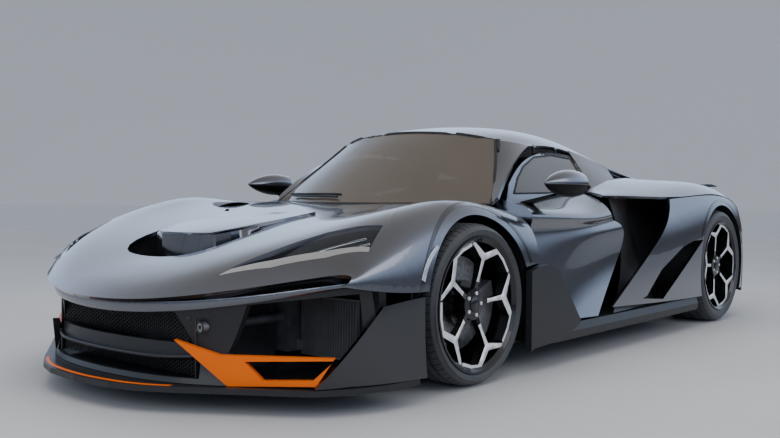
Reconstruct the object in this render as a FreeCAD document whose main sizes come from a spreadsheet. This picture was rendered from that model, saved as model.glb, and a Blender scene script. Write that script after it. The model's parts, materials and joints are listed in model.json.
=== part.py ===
import FreeCAD, Part
import os
import Sketcher
from FreeCAD import Placement, Rotation, Vector

# Low two-seat supercar, millimetres, nose towards -Y, left side +X, +Z up.
# The row frame stands on the floor under the middle of the overall length.

os.makedirs("parts", exist_ok=True)
doc = FreeCAD.newDocument("supercar")

# Driving sizes, in the spreadsheet

SIZES = [
    ("wheelbase", 2680.0),
    ("front_overhang", 1240.0),
    ("rear_overhang", 715.0),
    ("body_width", 2040.0),
    ("roof_height", 1182.0),
    ("skin_thickness", 18.0),
    ("glass_thickness", 6.0),
    ("seam_gap", 0.3),
    ("running_clearance", 0.05),
    ("front_tyre_radius", 334.0),
    ("front_tyre_width", 265.0),
    ("front_wheel_face", 985.0),
    ("front_rim_radius", 281.0),
    ("front_disc_radius", 195.0),
    ("rear_tyre_radius", 354.0),
    ("rear_tyre_width", 335.0),
    ("rear_wheel_face", 1000.0),
    ("rear_rim_radius", 283.0),
    ("rear_disc_radius", 190.0),
    ("disc_thickness", 34.0),
    ("front_arch_gap", 34.0),
    ("rear_arch_gap", 31.0),
    ("stub_radius", 28.0),
    ("kingpin_radius", 12.0),
    ("kingpin_inset", 75.0),
    ("arm_eye_radius", 22.0),
    ("arm_eye_height", 24.0),
    ("lower_arm_drop", 134.0),
    ("upper_arm_rise", 186.0),
    ("arm_tube_radius", 11.0),
    ("floor_bottom", 95.0),
    ("floor_top", 125.0),
    ("tub_floor", 165.0),
    ("tub_front", 300.0),
    ("tub_rear", 1800.0),
    ("tub_wall", 60.0),
    ("tub_width", 1600.0),
    ("sill_beam_width", 140.0),
    ("sill_beam_top", 390.0),
    ("hinge_pin_radius", 5.0),
    ("hinge_ear_radius", 9.0),
    ("steering_wheel_radius", 172.0),
    ("steering_rim_radius", 15.0),
    ("column_radius", 17.0),
    ("exhaust_radius", 62.0),
    ("wing_rod_radius", 12.0),
    ("tow_eye_radius", 8.0),
    ("tow_eye_depth", 45.0),
]

sheet = doc.addObject("Spreadsheet::Sheet", "sizes")
for row, (alias, value) in enumerate(SIZES, start=1):
    sheet.set("A%d" % row, alias)
    sheet.set("B%d" % row, str(value))
    sheet.setAlias("B%d" % row, alias)
doc.recompute()


def size(alias):
    """Value of one driving size."""
    return float(sheet.get(alias))


# The tables below are drawn on a car of these sizes, measured from the front axle and the floor.
DRAWN_WHEELBASE = 2680.0
DRAWN_WIDTH = 2040.0
DRAWN_HEIGHT = 1182.0

MID_LENGTH = (size("wheelbase") + size("rear_overhang") - size("front_overhang")) / 2
FRONT_AXLE = -MID_LENGTH
REAR_AXLE = size("wheelbase") - MID_LENGTH


def along(y):
    """Row y of a station that the tables give from the front axle."""
    if y <= 0:
        return FRONT_AXLE + y
    if y >= DRAWN_WHEELBASE:
        return REAR_AXLE + y - DRAWN_WHEELBASE
    return FRONT_AXLE + y * size("wheelbase") / DRAWN_WHEELBASE


def up(z):
    """Row height of a table height."""
    return z * size("roof_height") / DRAWN_HEIGHT


def at(x, y, z):
    """Row position of a table point."""
    return Vector(x * size("body_width") / DRAWN_WIDTH, along(y), up(z))


# Shape helpers


def feature(label, shape):
    """One sub-part whose shape is worked out here."""
    item = doc.addObject("Part::Feature", label)
    item.Label = label
    item.Shape = shape
    return item


def mirrored(shape):
    """The same shape on the car's right side."""
    return shape.mirror(Vector(0, 0, 0), Vector(1, 0, 0))


def knots(count, degree):
    """Even knots of a curve that starts and ends on its first and last pole."""
    values = list(range(count - degree + 1))
    return values, [degree + 1] + [1] * (len(values) - 2) + [degree + 1]


def surface_over(rows):
    """Smooth surface drawn by rows of poles, like cloth over a frame: it never swings past them."""
    rise = min(3, len(rows) - 1)
    run = min(3, len(rows[0]) - 1)
    row_knots, row_mults = knots(len(rows), rise)
    column_knots, column_mults = knots(len(rows[0]), run)
    surface = Part.BSplineSurface()
    surface.buildFromPolesMultsKnots(
        rows, row_mults, column_mults, row_knots, column_knots, False, False, rise, run)
    return surface


def closed_between(outer, inner):
    """Solid between two surfaces of the same layout, closed by ruled edges."""
    outer_face = outer.toShape()
    inner_face = inner.toShape()
    u0, u1, v0, v1 = outer.bounds()
    p0, p1, q0, q1 = inner.bounds()
    pairs = [
        (outer.uIso(u0), inner.uIso(p0)),
        (outer.uIso(u1), inner.uIso(p1)),
        (outer.vIso(v0), inner.vIso(q0)),
        (outer.vIso(v1), inner.vIso(q1)),
    ]
    faces = [outer_face, inner_face]
    for first, second in pairs:
        faces.append(Part.makeRuledSurface(first.toShape(), second.toShape()))
    shell = Part.makeShell(faces)
    shell.sewShape()
    solid = Part.makeSolid(Part.Shell(shell.Faces))
    solid.fix(0.001, 0.001, 0.001)
    if solid.Volume < 0:
        solid.reverse()
    return solid


def inward_points(surface, rows, inside, thickness):
    """Points one thickness inside the surface, on the side of the point called inside."""
    moved = []
    for row in rows:
        line = []
        for point in row:
            u, v = surface.parameter(point)
            normal = surface.normal(u, v)
            if normal.dot(inside - point) < 0:
                normal = normal * -1
            line.append(point + normal * thickness)
        moved.append(line)
    return moved


def panel(table, thickness, inside):
    """Panel of even thickness under a smooth surface through the table's points."""
    rows = [[at(*point) for point in row] for row in table]
    outer = surface_over(rows)
    inner = surface_over(inward_points(outer, rows, at(*inside), thickness))
    return closed_between(outer, inner)


def layer(table, near, far, inside):
    """Solid between two depths under the surface of a table."""
    rows = [[at(*point) for point in row] for row in table]
    outer = surface_over(rows)
    upper = surface_over(inward_points(outer, rows, at(*inside), near))
    lower = surface_over(inward_points(outer, rows, at(*inside), far))
    return closed_between(upper, lower)


def seated(shape, neighbours):
    """The largest piece of a shape that is left beside its neighbours, so that it meets them."""
    rest = shape.cut(neighbours)
    return max(rest.Solids, key=lambda solid: solid.Volume)


def full_width(table):
    """Rows from the centreline outwards, repeated on the other side."""
    rows = []
    for row in table:
        other = [(-x, y, z) for x, y, z in reversed(row[1:])]
        rows.append(other + list(row))
    return rows


def upright_prism(outline, low, high):
    """Prism over a plan outline of table (x, y) points, between two table heights."""
    corners = [at(x, y, low) for x, y in outline]
    face = Part.Face(Part.makePolygon(corners + corners[:1]))
    return face.extrude(at(0, 0, high) - at(0, 0, low))


def side_prism(outline, inner, outer):
    """Prism over a side outline of table (y, z) points, between two table widths."""
    corners = [at(inner, y, z) for y, z in outline]
    face = Part.Face(Part.makePolygon(corners + corners[:1]))
    return face.extrude(at(outer, 0, 0) - at(inner, 0, 0))


def block(low, high):
    """Box between two table corners."""
    corner = at(*low)
    span = at(*high) - corner
    return Part.makeBox(span.x, span.y, span.z, corner)


def rod(start, end, radius):
    """Round bar between two row points."""
    return Part.makeCylinder(radius, (end - start).Length, start, end - start)


# PartDesign helpers


def body_named(label):
    """Empty PartDesign body."""
    body = doc.addObject("PartDesign::Body", label)
    body.Label = label
    return body


def origin_feature(body, role):
    """Origin plane or axis of a body, by its role."""
    for item in body.Origin.OriginFeatures:
        if item.Role == role:
            return item
    raise ValueError(role)


def lines(points):
    """Closed outline of straight edges."""
    ends = points[1:] + points[:1]
    return [Part.LineSegment(Vector(*a, 0), Vector(*b, 0)) for a, b in zip(points, ends)]


def sketch_on(body, role, edges, lift=0.0):
    """Closed sketch on one of the body's own origin planes, lifted along its normal."""
    sketch = body.newObject("Sketcher::SketchObject", body.Label + "_outline")
    sketch.AttachmentSupport = [(origin_feature(body, role), "")]
    sketch.MapMode = "FlatFace"
    sketch.AttachmentOffset = Placement(Vector(0, 0, lift), Rotation())
    for edge in edges:
        sketch.addGeometry(edge, False)
    count = len(edges)
    for index in range(count):
        sketch.addConstraint(Sketcher.Constraint("Coincident", index, 2, (index + 1) % count, 1))
    return sketch


def pad(body, sketch, length, symmetric=False, reverse=False):
    """Pad whose length is an expression of the sheet."""
    item = body.newObject("PartDesign::Pad", body.Label + "_pad")
    item.Profile = sketch
    item.SideType = "Symmetric" if symmetric else "One side"
    item.Reversed = reverse
    item.setExpression("Length", length)
    doc.recompute()
    return item


def pocket(body, sketch, length, symmetric=False, reverse=False):
    """Pocket that has to remove something."""
    before = body.Shape.Volume
    item = body.newObject("PartDesign::Pocket", body.Label + "_pocket")
    item.Profile = sketch
    item.SideType = "Symmetric" if symmetric else "One side"
    item.Reversed = reverse
    item.setExpression("Length", length)
    doc.recompute()
    if body.Shape.Volume >= before - 1:
        raise ValueError("a pocket of %s cuts nothing" % body.Label)
    return item


def revolve(body, sketch, angle=360.0):
    """Revolution about the sketch's horizontal axis."""
    item = body.newObject("PartDesign::Revolution", body.Label + "_turned")
    item.Profile = sketch
    item.ReferenceAxis = (sketch, ["H_Axis"])
    item.Angle = angle
    doc.recompute()
    return item


def groove(body, sketch):
    """Groove about the sketch's horizontal axis that has to remove something."""
    before = body.Shape.Volume
    item = body.newObject("PartDesign::Groove", body.Label + "_groove")
    item.Profile = sketch
    item.ReferenceAxis = (sketch, ["H_Axis"])
    item.Angle = 360.0
    doc.recompute()
    if body.Shape.Volume >= before - 1:
        raise ValueError("a groove of %s cuts nothing" % body.Label)
    return item


# Body surfaces
# Rows run from the nose backwards. Columns run from the centreline outwards and down the side:
# centre, inner bow, hood, lamp line, fender crest, shoulder, side, arch line.

FRONT_BODY = [
    [(0, -1190, 387), (250, -1165, 392), (500, -1085, 420), (700, -940, 457),
     (850, -800, 490), (935, -735, 505), (965, -745, 490), (957, -790, 462)],
    [(0, -1150, 430), (250, -1122, 437), (500, -1040, 480), (700, -890, 530),
     (862, -745, 555), (948, -690, 532), (972, -690, 500), (967, -725, 450)],
    [(0, -1050, 477), (250, -1025, 488), (500, -950, 535), (700, -800, 590),
     (865, -650, 608), (955, -605, 565), (980, -590, 510), (982, -600, 430)],
    [(0, -906, 523), (250, -880, 548), (490, -800, 590), (695, -650, 645),
     (857, -470, 690), (955, -430, 635), (986, -420, 540), (994, -420, 415)],
    [(0, -600, 610), (245, -580, 640), (470, -500, 665), (680, -400, 705),
     (848, -220, 768), (950, -200, 705), (985, -200, 585), (994, -200, 420)],
    [(0, -250, 690), (240, -220, 700), (450, -180, 708), (675, -110, 742),
     (858, 60, 803), (955, 80, 748), (984, 85, 625), (990, 85, 440)],
    [(0, 165, 736), (250, 198, 742), (450, 265, 745), (690, 400, 745),
     (880, 425, 708), (958, 440, 640), (981, 448, 560), (986, 450, 484)],
]

# Shut line between the nose and the fender, in plan
SHUT_LINE = [
    (720, 430), (700, -170), (800, -320), (870, -460), (925, -615), (946, -715), (952, -860),
]

# Horseshoe opening in the hood, in plan, left half from the front
DUCT_OUTER = [
    (0, -906), (60, -905), (113, -901), (166, -892), (212, -871), (254, -832), (282, -780), (296, -720),
    (300, -660), (296, -600), (285, -545),
]
DUCT_INNER = [(250, -560), (244, -625), (225, -680), (193, -729), (150, -765), (80, -791), (0, -800)]

# Back of the wall under the raised centre, in plan
BOW_WALL_BACK = [
    (0, -790), (77, -781), (143, -756), (185, -722), (215, -676), (233, -622), (238, -560), (257, -551),
]
BOW_WALL_SIDE = [(-820, 405), (-540, 405), (-540, 654), (-650, 630), (-735, 614), (-820, 614)]

# Small slots beside the windscreen's foot, in plan
HOOD_VENTS = [
    [(350, -215), (425, -150), (440, -158), (372, -225)],
    [(520, 60), (610, 125), (622, 112), (540, 44)],
]

# Raised centre of the hood, rows backwards, columns outwards
HOOD_BOW = [
    [(0, -800, 622), (90, -785, 622), (170, -740, 622)],
    [(0, -700, 640), (110, -690, 640), (215, -650, 640)],
    [(0, -560, 662), (120, -555, 663), (245, -540, 662)],
    [(0, -400, 682), (120, -395, 682), (250, -385, 680)],
    [(0, -235, 697), (120, -230, 699), (242, -215, 705)],
]

LAMP_SLIT = [
    (530, -1000), (640, -820), (730, -640), (800, -545), (865, -480), (920, -625), (830, -752),
    (690, -888),
]

# Clear lens at the outer end of the lamp and the bright blade along its lower edge, in plan
LAMP_LENS = [
    (700, -830), (740, -640), (802, -545), (866, -480), (922, -620), (832, -752),
]
LAMP_BLADE = [
    (520, -1012), (690, -890), (830, -754), (922, -624), (908, -604), (812, -728), (680, -858), (560, -955),
]

WINDSCREEN = [
    [(0, 160, 731), (250, 194, 738), (480, 283, 741), (724, 450, 739)],
    [(0, 340, 880), (240, 368, 880), (440, 440, 874), (668, 582, 860)],
    [(0, 510, 1012), (220, 530, 1006), (410, 590, 990), (600, 706, 957)],
    [(0, 694, 1121), (200, 700, 1114), (370, 722, 1101), (532, 806, 1066)],
]

PILLAR = [
    [(720, 455, 750), (733, 464, 762), (742, 478, 776)],
    [(660, 580, 862), (688, 605, 893), (704, 640, 922)],
    [(590, 700, 959), (628, 745, 985), (655, 800, 1000)],
    [(520, 792, 1066), (567, 872, 1062), (611, 962, 1043)],
]

ROOF = [
    [(0, 690, 1121), (200, 695, 1113), (370, 715, 1099), (520, 795, 1065), (612, 965, 1042)],
    [(0, 900, 1163), (230, 905, 1154), (420, 925, 1130), (545, 985, 1090), (608, 1080, 1052)],
    [(0, 1150, 1182), (250, 1155, 1170), (435, 1165, 1140), (550, 1190, 1094), (603, 1215, 1054)],
    [(0, 1450, 1168), (250, 1450, 1156), (430, 1455, 1124), (545, 1462, 1076), (600, 1470, 1026)],
    [(0, 1770, 1112), (240, 1770, 1100), (415, 1780, 1066), (535, 1810, 1008), (612, 1840, 952)],
    [(0, 2100, 1034), (230, 2100, 1022), (400, 2110, 988), (525, 2140, 938), (618, 2150, 902)],
]

REAR_WINDOW = [(-330, 1560), (-300, 2060), (300, 2060), (330, 1560)]

REAR_DECK = [
    [(0, 2090, 1036), (230, 2090, 1024), (400, 2100, 990), (525, 2130, 940), (640, 2140, 898)],
    [(0, 2400, 962), (225, 2400, 950), (400, 2400, 925), (525, 2400, 900), (645, 2400, 887)],
    [(0, 2700, 912), (225, 2700, 905), (400, 2700, 892), (530, 2700, 880), (655, 2700, 873)],
    [(0, 3000, 876), (225, 3000, 872), (400, 3000, 866), (540, 3000, 860), (665, 3000, 855)],
    [(0, 3240, 850), (225, 3238, 849), (400, 3230, 846), (540, 3212, 842), (680, 3180, 837)],
]

# Louvres in the deck: station of the front edge and half length
LOUVRE_WIDTH = 24
DECK_LOUVRES = [(2200, 330), (2275, 315), (2350, 300), (2425, 285), (2500, 270), (2575, 255)]

# Rows run outwards from the deck's edge to the outer lip. Columns run backwards.
QUARTER_TOP = [
    [(736, 1300, 814), (716, 1560, 866), (648, 1900, 905), (624, 2200, 899), (632, 2550, 882),
     (645, 2900, 862), (664, 3180, 837)],
    [(795, 1300, 808), (795, 1590, 846), (775, 1920, 880), (765, 2240, 893), (780, 2600, 898),
     (795, 2915, 862), (805, 3145, 812)],
    [(850, 1300, 800), (872, 1620, 812), (885, 1940, 838), (878, 2290, 886), (890, 2620, 912),
     (900, 2930, 846), (905, 3105, 775)],
    [(862, 1302, 788), (915, 1640, 792), (955, 1945, 780), (975, 2300, 800), (978, 2640, 820),
     (970, 2930, 775), (955, 3075, 728)],
]

# Rows run down the side. Columns run backwards.
QUARTER_SIDE = [
    [(955, 1950, 774), (974, 2305, 794), (978, 2645, 814), (971, 2930, 770), (955, 3078, 722)],
    [(985, 1905, 660), (1006, 2270, 660), (1012, 2640, 735), (1005, 2930, 680), (985, 3085, 620)],
    [(996, 1720, 540), (1014, 2200, 500), (1018, 2640, 560), (1014, 2930, 560), (992, 3090, 500)],
    [(998, 1430, 380), (1014, 2080, 340), (1018, 2640, 340), (1014, 2930, 340), (990, 3090, 330)],
    [(1000, 1150, 225), (1004, 2000, 187), (1010, 2640, 187), (1006, 2930, 187), (985, 3085, 187)],
]

# Slanted opening between the side blade and the rear fender, side outline
SIDE_OPENING = [
    (2330, 530), (2185, 528), (2034, 497), (1742, 383), (1554, 250), (1501, 240), (1765, 216),
]


# Duct walls behind the side openings. Rows run down, columns backwards.
SIDE_DUCT = [
    [(850, 1390, 778), (800, 1640, 790), (710, 1930, 800), (630, 2200, 800)],
    [(865, 1440, 660), (815, 1660, 660), (720, 1930, 640), (640, 2200, 620)],
    [(885, 1500, 520), (840, 1680, 480), (760, 1930, 450), (650, 2230, 440)],
    [(930, 1390, 330), (905, 1660, 300), (850, 1930, 290), (660, 2260, 290)],
    [(990, 1180, 192), (975, 1600, 190), (930, 1930, 190), (700, 2270, 190)],
]

# Floor of the hood duct and the top of its side walls, side outlines from the front
DUCT_RAMP = [(-915, 504), (-860, 474), (-720, 436), (-560, 412), (-380, 400)]
DUCT_WALL_TOP = [(-380, 678), (-600, 638), (-760, 592), (-915, 540)]
DUCT_HALF_WIDTH = 318

# Rows run down from the glass line. Columns run backwards.
DOOR_OUTER = [
    [(738, 512, 764), (743, 760, 770), (743, 1000, 779), (740, 1150, 791), (736, 1290, 806)],
    [(890, 492, 737), (900, 760, 722), (902, 1000, 716), (895, 1140, 730), (868, 1275, 772)],
    [(950, 474, 700), (962, 755, 686), (967, 970, 672), (968, 1110, 668), (962, 1240, 678)],
    [(915, 476, 640), (920, 760, 640), (915, 1010, 640), (900, 1180, 645), (885, 1345, 660)],
    [(930, 474, 568), (934, 765, 586), (932, 1030, 606), (930, 1235, 624), (925, 1425, 640)],
    [(945, 474, 450), (942, 760, 470), (930, 1010, 500), (915, 1240, 520), (905, 1480, 540)],
    [(955, 474, 340), (952, 690, 345), (948, 880, 350), (940, 1065, 356), (934, 1250, 362)],
    [(962, 474, 205), (970, 630, 202), (980, 750, 200), (990, 870, 198), (1000, 995, 196)],
]
# Inner side of the door for each row above: width and drop from the outer point
DOOR_INNER = [(712, -14), (745, -70), (812, -55), (815, -30), (818, -10), (824, 0), (830, 0), (850, 12)]

DOOR_WINDOW = [
    [(725, 600, 838), (692, 726, 932), (650, 922, 1000), (618, 1158, 1022), (608, 1392, 1009)],
    [(733, 580, 800), (717, 735, 860), (699, 940, 900), (685, 1172, 918), (671, 1392, 932)],
    [(737, 562, 756), (741, 735, 762), (741, 950, 768), (738, 1180, 790), (719, 1392, 844)],
]
# Glass inside the door's window frame, side outline
DOOR_GLASS_LINE = [
    (634, 794), (950, 800), (1185, 816), (1374, 864), (1374, 989), (1160, 1001), (940, 982),
    (786, 928), (698, 868),
]

QUARTER_GLASS = [
    [(594, 1404, 1040), (594, 1470, 1032), (596, 1600, 1010), (601, 1720, 986), (607, 1838, 964)],
    [(674, 1404, 940), (672, 1470, 940), (664, 1600, 935), (652, 1720, 928), (634, 1838, 924)],
    [(742, 1404, 830), (736, 1470, 842), (716, 1600, 862), (693, 1720, 876), (662, 1838, 888)],
]

FASCIA = [
    [(0, -1138, 366), (370, -1105, 382), (600, -965, 404), (760, -845, 432), (905, -745, 462),
     (945, -640, 462)],
    [(0, -1105, 290), (370, -1070, 300), (600, -940, 310), (760, -825, 330), (900, -720, 350),
     (948, -610, 350)],
    [(0, -1095, 200), (370, -1062, 200), (600, -930, 200), (760, -815, 205), (900, -705, 205),
     (950, -590, 205)],
    [(0, -1150, 100), (370, -1110, 100), (600, -975, 100), (760, -860, 100), (900, -750, 100),
     (955, -600, 100)],
]

BUMPER_STRIP = [
    [(0, -1156, 372), (370, -1124, 388), (600, -984, 411), (762, -862, 438), (905, -760, 466),
     (958, -660, 474)],
    [(0, -1160, 352), (370, -1128, 370), (600, -988, 398), (765, -866, 427), (908, -764, 457),
     (960, -662, 465)],
    [(0, -1150, 330), (370, -1118, 352), (600, -978, 384), (757, -856, 416), (900, -754, 449),
     (954, -652, 458)],
]

CORNER_BLADE = [
    [(1000, -392, 400), (992, -460, 396), (982, -530, 388), (968, -592, 378)],
    [(1003, -400, 240), (992, -520, 235), (972, -640, 225), (940, -758, 208)],
    [(1018, -400, 101), (996, -540, 101), (945, -700, 101), (862, -830, 101)],
]

TAIL = [
    [(0, 3262, 826), (300, 3258, 824), (600, 3215, 818), (820, 3130, 775), (950, 3095, 712)],
    [(0, 3330, 700), (300, 3325, 698), (620, 3270, 690), (850, 3165, 670), (980, 3095, 610)],
    [(0, 3345, 520), (300, 3340, 520), (640, 3285, 515), (865, 3180, 510), (992, 3098, 500)],
    [(0, 3325, 330), (300, 3320, 330), (640, 3265, 330), (870, 3175, 330), (990, 3098, 330)],
]

# Dark panel under the tail, which the diffuser runs into
VALANCE = [
    [(0, 3324, 329), (300, 3319, 329), (640, 3264, 329), (870, 3174, 329), (990, 3098, 329)],
    [(0, 3318, 285), (300, 3312, 284), (640, 3254, 278), (865, 3166, 265), (988, 3098, 255)],
    [(0, 3296, 232), (300, 3290, 231), (640, 3230, 216), (862, 3150, 186), (984, 3100, 165)],
]


# Lower rear corner of the front wheel's surround, which the door's front edge follows
SIDE_BLADE = [
    (352, 100), (352, 452), (420, 470), (500, 476), (582, 450), (800, 196), (800, 186), (735, 160),
    (600, 122), (380, 110),
]

# Front body: nose with hood, and the two fenders

SKIN = size("skin_thickness")
SEAM = size("seam_gap")
INSIDE_NOSE = (0, -300, 200)
front_body = panel(full_width(FRONT_BODY), SKIN, INSIDE_NOSE)


def arch_cut(axle, face, width, radius, gap):
    """Round opening of a left wheel arch, from well inside the wheel outwards."""
    start = Vector(face - 1.4 * width, axle, radius)
    return Part.makeCylinder(radius + gap, 4 * width, start, Vector(1, 0, 0))


front_arch = arch_cut(FRONT_AXLE, size("front_wheel_face"), size("front_tyre_width"),
                      size("front_tyre_radius"), size("front_arch_gap"))
rear_arch = arch_cut(REAR_AXLE, size("rear_wheel_face"), size("rear_tyre_width"),
                     size("rear_tyre_radius"), size("rear_arch_gap"))

fender_plan = SHUT_LINE + [(1300, -900), (1300, 600), (720, 600)]
fender_zone = upright_prism(fender_plan, 300, 950)
fender_left = front_body.common(fender_zone).cut(front_arch)

nose = front_body.cut(fender_zone).cut(mirrored(fender_zone))
duct_zone = upright_prism(DUCT_OUTER + DUCT_INNER, 450, 800)
bow_zone = upright_prism(DUCT_INNER[::-1] + [(250, -400), (246, -222), (0, -240)], 450, 800)
lamp_zone = upright_prism(LAMP_SLIT, 400, 760)
for zone in (duct_zone, bow_zone, lamp_zone):
    nose = nose.cut(zone).cut(mirrored(zone))
fender_left = fender_left.cut(lamp_zone)
bow = panel(full_width(HOOD_BOW), SKIN, INSIDE_NOSE)
wall_zone = upright_prism(DUCT_INNER + BOW_WALL_BACK, 400, 700)
bow_wall = wall_zone.fuse(mirrored(wall_zone)).common(side_prism(BOW_WALL_SIDE, -300, 300))
nose = nose.fuse([bow, bow_wall])
for outline in HOOD_VENTS:
    vent = upright_prism(outline, 600, 800)
    nose = nose.cut(vent).cut(mirrored(vent))
feature("nose", nose)
feature("fenders", Part.makeCompound([fender_left, mirrored(fender_left)]))

# Glazing, roof and pillars

GLASS = size("glass_thickness")
INSIDE_CABIN = (0, 1150, 600)
roof = panel(full_width(ROOF), SKIN, INSIDE_CABIN)
window_zone = upright_prism(REAR_WINDOW, 850, 1250)
rear_window = roof.common(window_zone)
roof = roof.cut(window_zone)

# Door hinges: the axis runs along the car under the roof's edge
HINGE = at(604, 0, 1038)
# Station, and how far the door's ear reaches out to the window frame
HINGE_STATIONS = ((1020, 28), (1240, 15))
EAR_THICKNESS = 7.0
# Web that carries an ear, from the hinge axis: it slopes with the roof above it
EAR_WEB = [(-33, 0), (-5, 0), (-5, 8), (-33, 26)]
EAR_RADIUS = size("hinge_ear_radius")
PIN_RADIUS = size("hinge_pin_radius")
DOOR_EAR = 15.0


def on_hinge(station, offset):
    """Point of the hinge axis beside a hinge station."""
    return Vector(HINGE.x, along(station) + offset, HINGE.z)


def roof_ears(station):
    """Pin and two ears that hang from the roof's edge."""
    reach = DOOR_EAR / 2 + SEAM + EAR_THICKNESS
    shape = rod(on_hinge(station, -reach), on_hinge(station, reach), PIN_RADIUS)
    for side in (-1, 1):
        near = side * (DOOR_EAR / 2 + SEAM)
        far = side * reach
        start = min(near, far)
        ear = rod(on_hinge(station, near), on_hinge(station, far), EAR_RADIUS)
        corners = [on_hinge(station, start) + Vector(x, 0, z) for x, z in EAR_WEB]
        web = Part.Face(Part.makePolygon(corners + corners[:1])).extrude(Vector(0, EAR_THICKNESS, 0))
        shape = shape.fuse(ear).fuse(web)
    return shape


def door_ear(station, reach):
    """Ear with the bore that turns on the roof's pin."""
    ends = on_hinge(station, -DOOR_EAR / 2), on_hinge(station, DOOR_EAR / 2)
    ear = rod(ends[0], ends[1], EAR_RADIUS)
    web = Part.makeBox(EAR_RADIUS, DOOR_EAR, 42, ends[0] + Vector(-4, 0, -46))
    foot = Part.makeBox(4 + reach, DOOR_EAR, 14, ends[0] + Vector(-4, 0, -46))
    bore = rod(ends[0], ends[1], PIN_RADIUS + size("running_clearance"))
    return ear.fuse([web, foot]).cut(bore)


def ear_room(station):
    """Room in the roof's edge for a door ear."""
    half = DOOR_EAR / 2 + SEAM
    return rod(on_hinge(station, -half), on_hinge(station, half), EAR_RADIUS + 5)


pillar = panel(PILLAR, SKIN, INSIDE_CABIN)
hinges = [roof_ears(station) for station, reach in HINGE_STATIONS]
rooms = [ear_room(station) for station, reach in HINGE_STATIONS]
pins = [rod(on_hinge(station, -DOOR_EAR), on_hinge(station, DOOR_EAR), PIN_RADIUS) for station, reach in HINGE_STATIONS]
roof = roof.fuse(hinges + [mirrored(hinge) for hinge in hinges])
roof = roof.cut(rooms + [mirrored(room) for room in rooms])
roof = roof.fuse([pillar, mirrored(pillar)] + pins + [mirrored(pin) for pin in pins])
windscreen = panel(full_width(WINDSCREEN), GLASS, INSIDE_CABIN)
windscreen = seated(windscreen, [nose, roof])
feature("roof", roof)

# Rear quarters

INSIDE_REAR = (500, 2600, 400)
quarter_top = panel(QUARTER_TOP, SKIN, INSIDE_REAR)
quarter_side = panel(QUARTER_SIDE, SKIN, INSIDE_REAR)
quarter_side = quarter_side.cut(side_prism(SIDE_OPENING, 900, 1100))
quarter_left = quarter_top.fuse(quarter_side).cut(rear_arch)
feature("quarters", Part.makeCompound([quarter_left, mirrored(quarter_left)]))
quarter_glass = seated(panel(QUARTER_GLASS, GLASS, INSIDE_CABIN), [roof, quarter_left])
feature("fixed_glass", Part.makeCompound([windscreen, rear_window, quarter_glass, mirrored(quarter_glass)]))
rear_deck = panel(full_width(REAR_DECK), SKIN, (0, 2600, 400))
rear_deck = seated(rear_deck, [roof, quarter_left, mirrored(quarter_left)])
for front_end, half_length in DECK_LOUVRES:
    louvre = [(-half_length, front_end), (0, front_end + 26), (half_length, front_end),
              (half_length, front_end + LOUVRE_WIDTH), (0, front_end + 26 + LOUVRE_WIDTH),
              (-half_length, front_end + LOUVRE_WIDTH)]
    rear_deck = rear_deck.cut(upright_prism(louvre, 800, 1050))

# Wheel arch liners and duct walls

LINER = 4.0


def arch_liner(axle, radius, room, inner, outer):
    """Round shell over a left wheel, open below and at both ends."""
    start = at(inner, 0, 0)
    span = at(outer, 0, 0).x - start.x
    centre = Vector(start.x, axle, radius)
    shell = Part.makeCylinder(radius + room + LINER, span, centre, Vector(1, 0, 0))
    shell = shell.cut(Part.makeCylinder(radius + room, span, centre, Vector(1, 0, 0)))
    below = Part.makeBox(span, 4 * radius, 2 * radius, Vector(start.x, axle - 2 * radius, LINER_FOOT - 2 * radius))
    return shell.cut(below)


LINER_FOOT = 205.0
STEERED_ROOM = 68.0
front_liner = arch_liner(FRONT_AXLE, size("front_tyre_radius"), STEERED_ROOM, 532, 940)
front_liner = seated(front_liner, [fender_left, nose])
rear_liner = arch_liner(REAR_AXLE, size("rear_tyre_radius"), size("rear_arch_gap") + 1, 660, 1000)
rear_liner = seated(rear_liner, [quarter_left])
liners = [front_liner, rear_liner]
feature("arch_liners", Part.makeCompound(liners + [mirrored(one) for one in liners]))
side_duct = seated(panel(SIDE_DUCT, LINER, (0, 1500, 500)), [quarter_left, rear_liner])
ramp_line = DUCT_RAMP + [(y, z - LINER) for y, z in reversed(DUCT_RAMP)]
ramp = side_prism(ramp_line, -DUCT_HALF_WIDTH, DUCT_HALF_WIDTH)
cheek = side_prism(DUCT_RAMP + DUCT_WALL_TOP, DUCT_HALF_WIDTH - LINER, DUCT_HALF_WIDTH)
hood_duct = seated(ramp.fuse([cheek, mirrored(cheek)]), [nose])

# Doors, each as thick as the whole door, with a window frame and two hinge ears

door_outer_rows = [[at(*point) for point in row] for row in DOOR_OUTER]
door_inner_rows = []
for row, (width, drop) in zip(DOOR_OUTER, DOOR_INNER):
    door_inner_rows.append([at(width, y, z + drop) for x, y, z in row])
door = closed_between(surface_over(door_outer_rows), surface_over(door_inner_rows))
blade_zone = side_prism(SIDE_BLADE, 780, 1100)
door = door.cut(blade_zone)
FRAME_DEPTH = 16.0
glass_zone = side_prism(DOOR_GLASS_LINE, 500, 900)
frame = panel(DOOR_WINDOW, FRAME_DEPTH, INSIDE_CABIN).cut(glass_zone)
door = door.fuse([frame] + [door_ear(station, reach) for station, reach in HINGE_STATIONS])
door_glass = panel(DOOR_WINDOW, GLASS, INSIDE_CABIN).common(glass_zone)
feature("door_left", door)
feature("door_right", mirrored(door))
feature("door_glass_left", door_glass)
feature("door_glass_right", mirrored(door_glass))

# Mirrors on stalks from the doors


def mirror_pod():
    """Bullet-shaped pod, turned about its own length and cut flat where the glass is."""
    middle = at(1000, 650, 842)
    tip, waist, rim, back = [
        middle + Vector(0, y, r) for y, r in ((-190, 0), (-85, 46), (120, 54), (120, 0))]
    wire = Part.Wire([
        Part.Arc(tip, waist, rim).toShape(),
        Part.LineSegment(rim, back).toShape(),
        Part.LineSegment(back, tip).toShape(),
    ])
    return Part.Face(wire).revolve(middle, Vector(0, 1, 0), 360)


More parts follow.
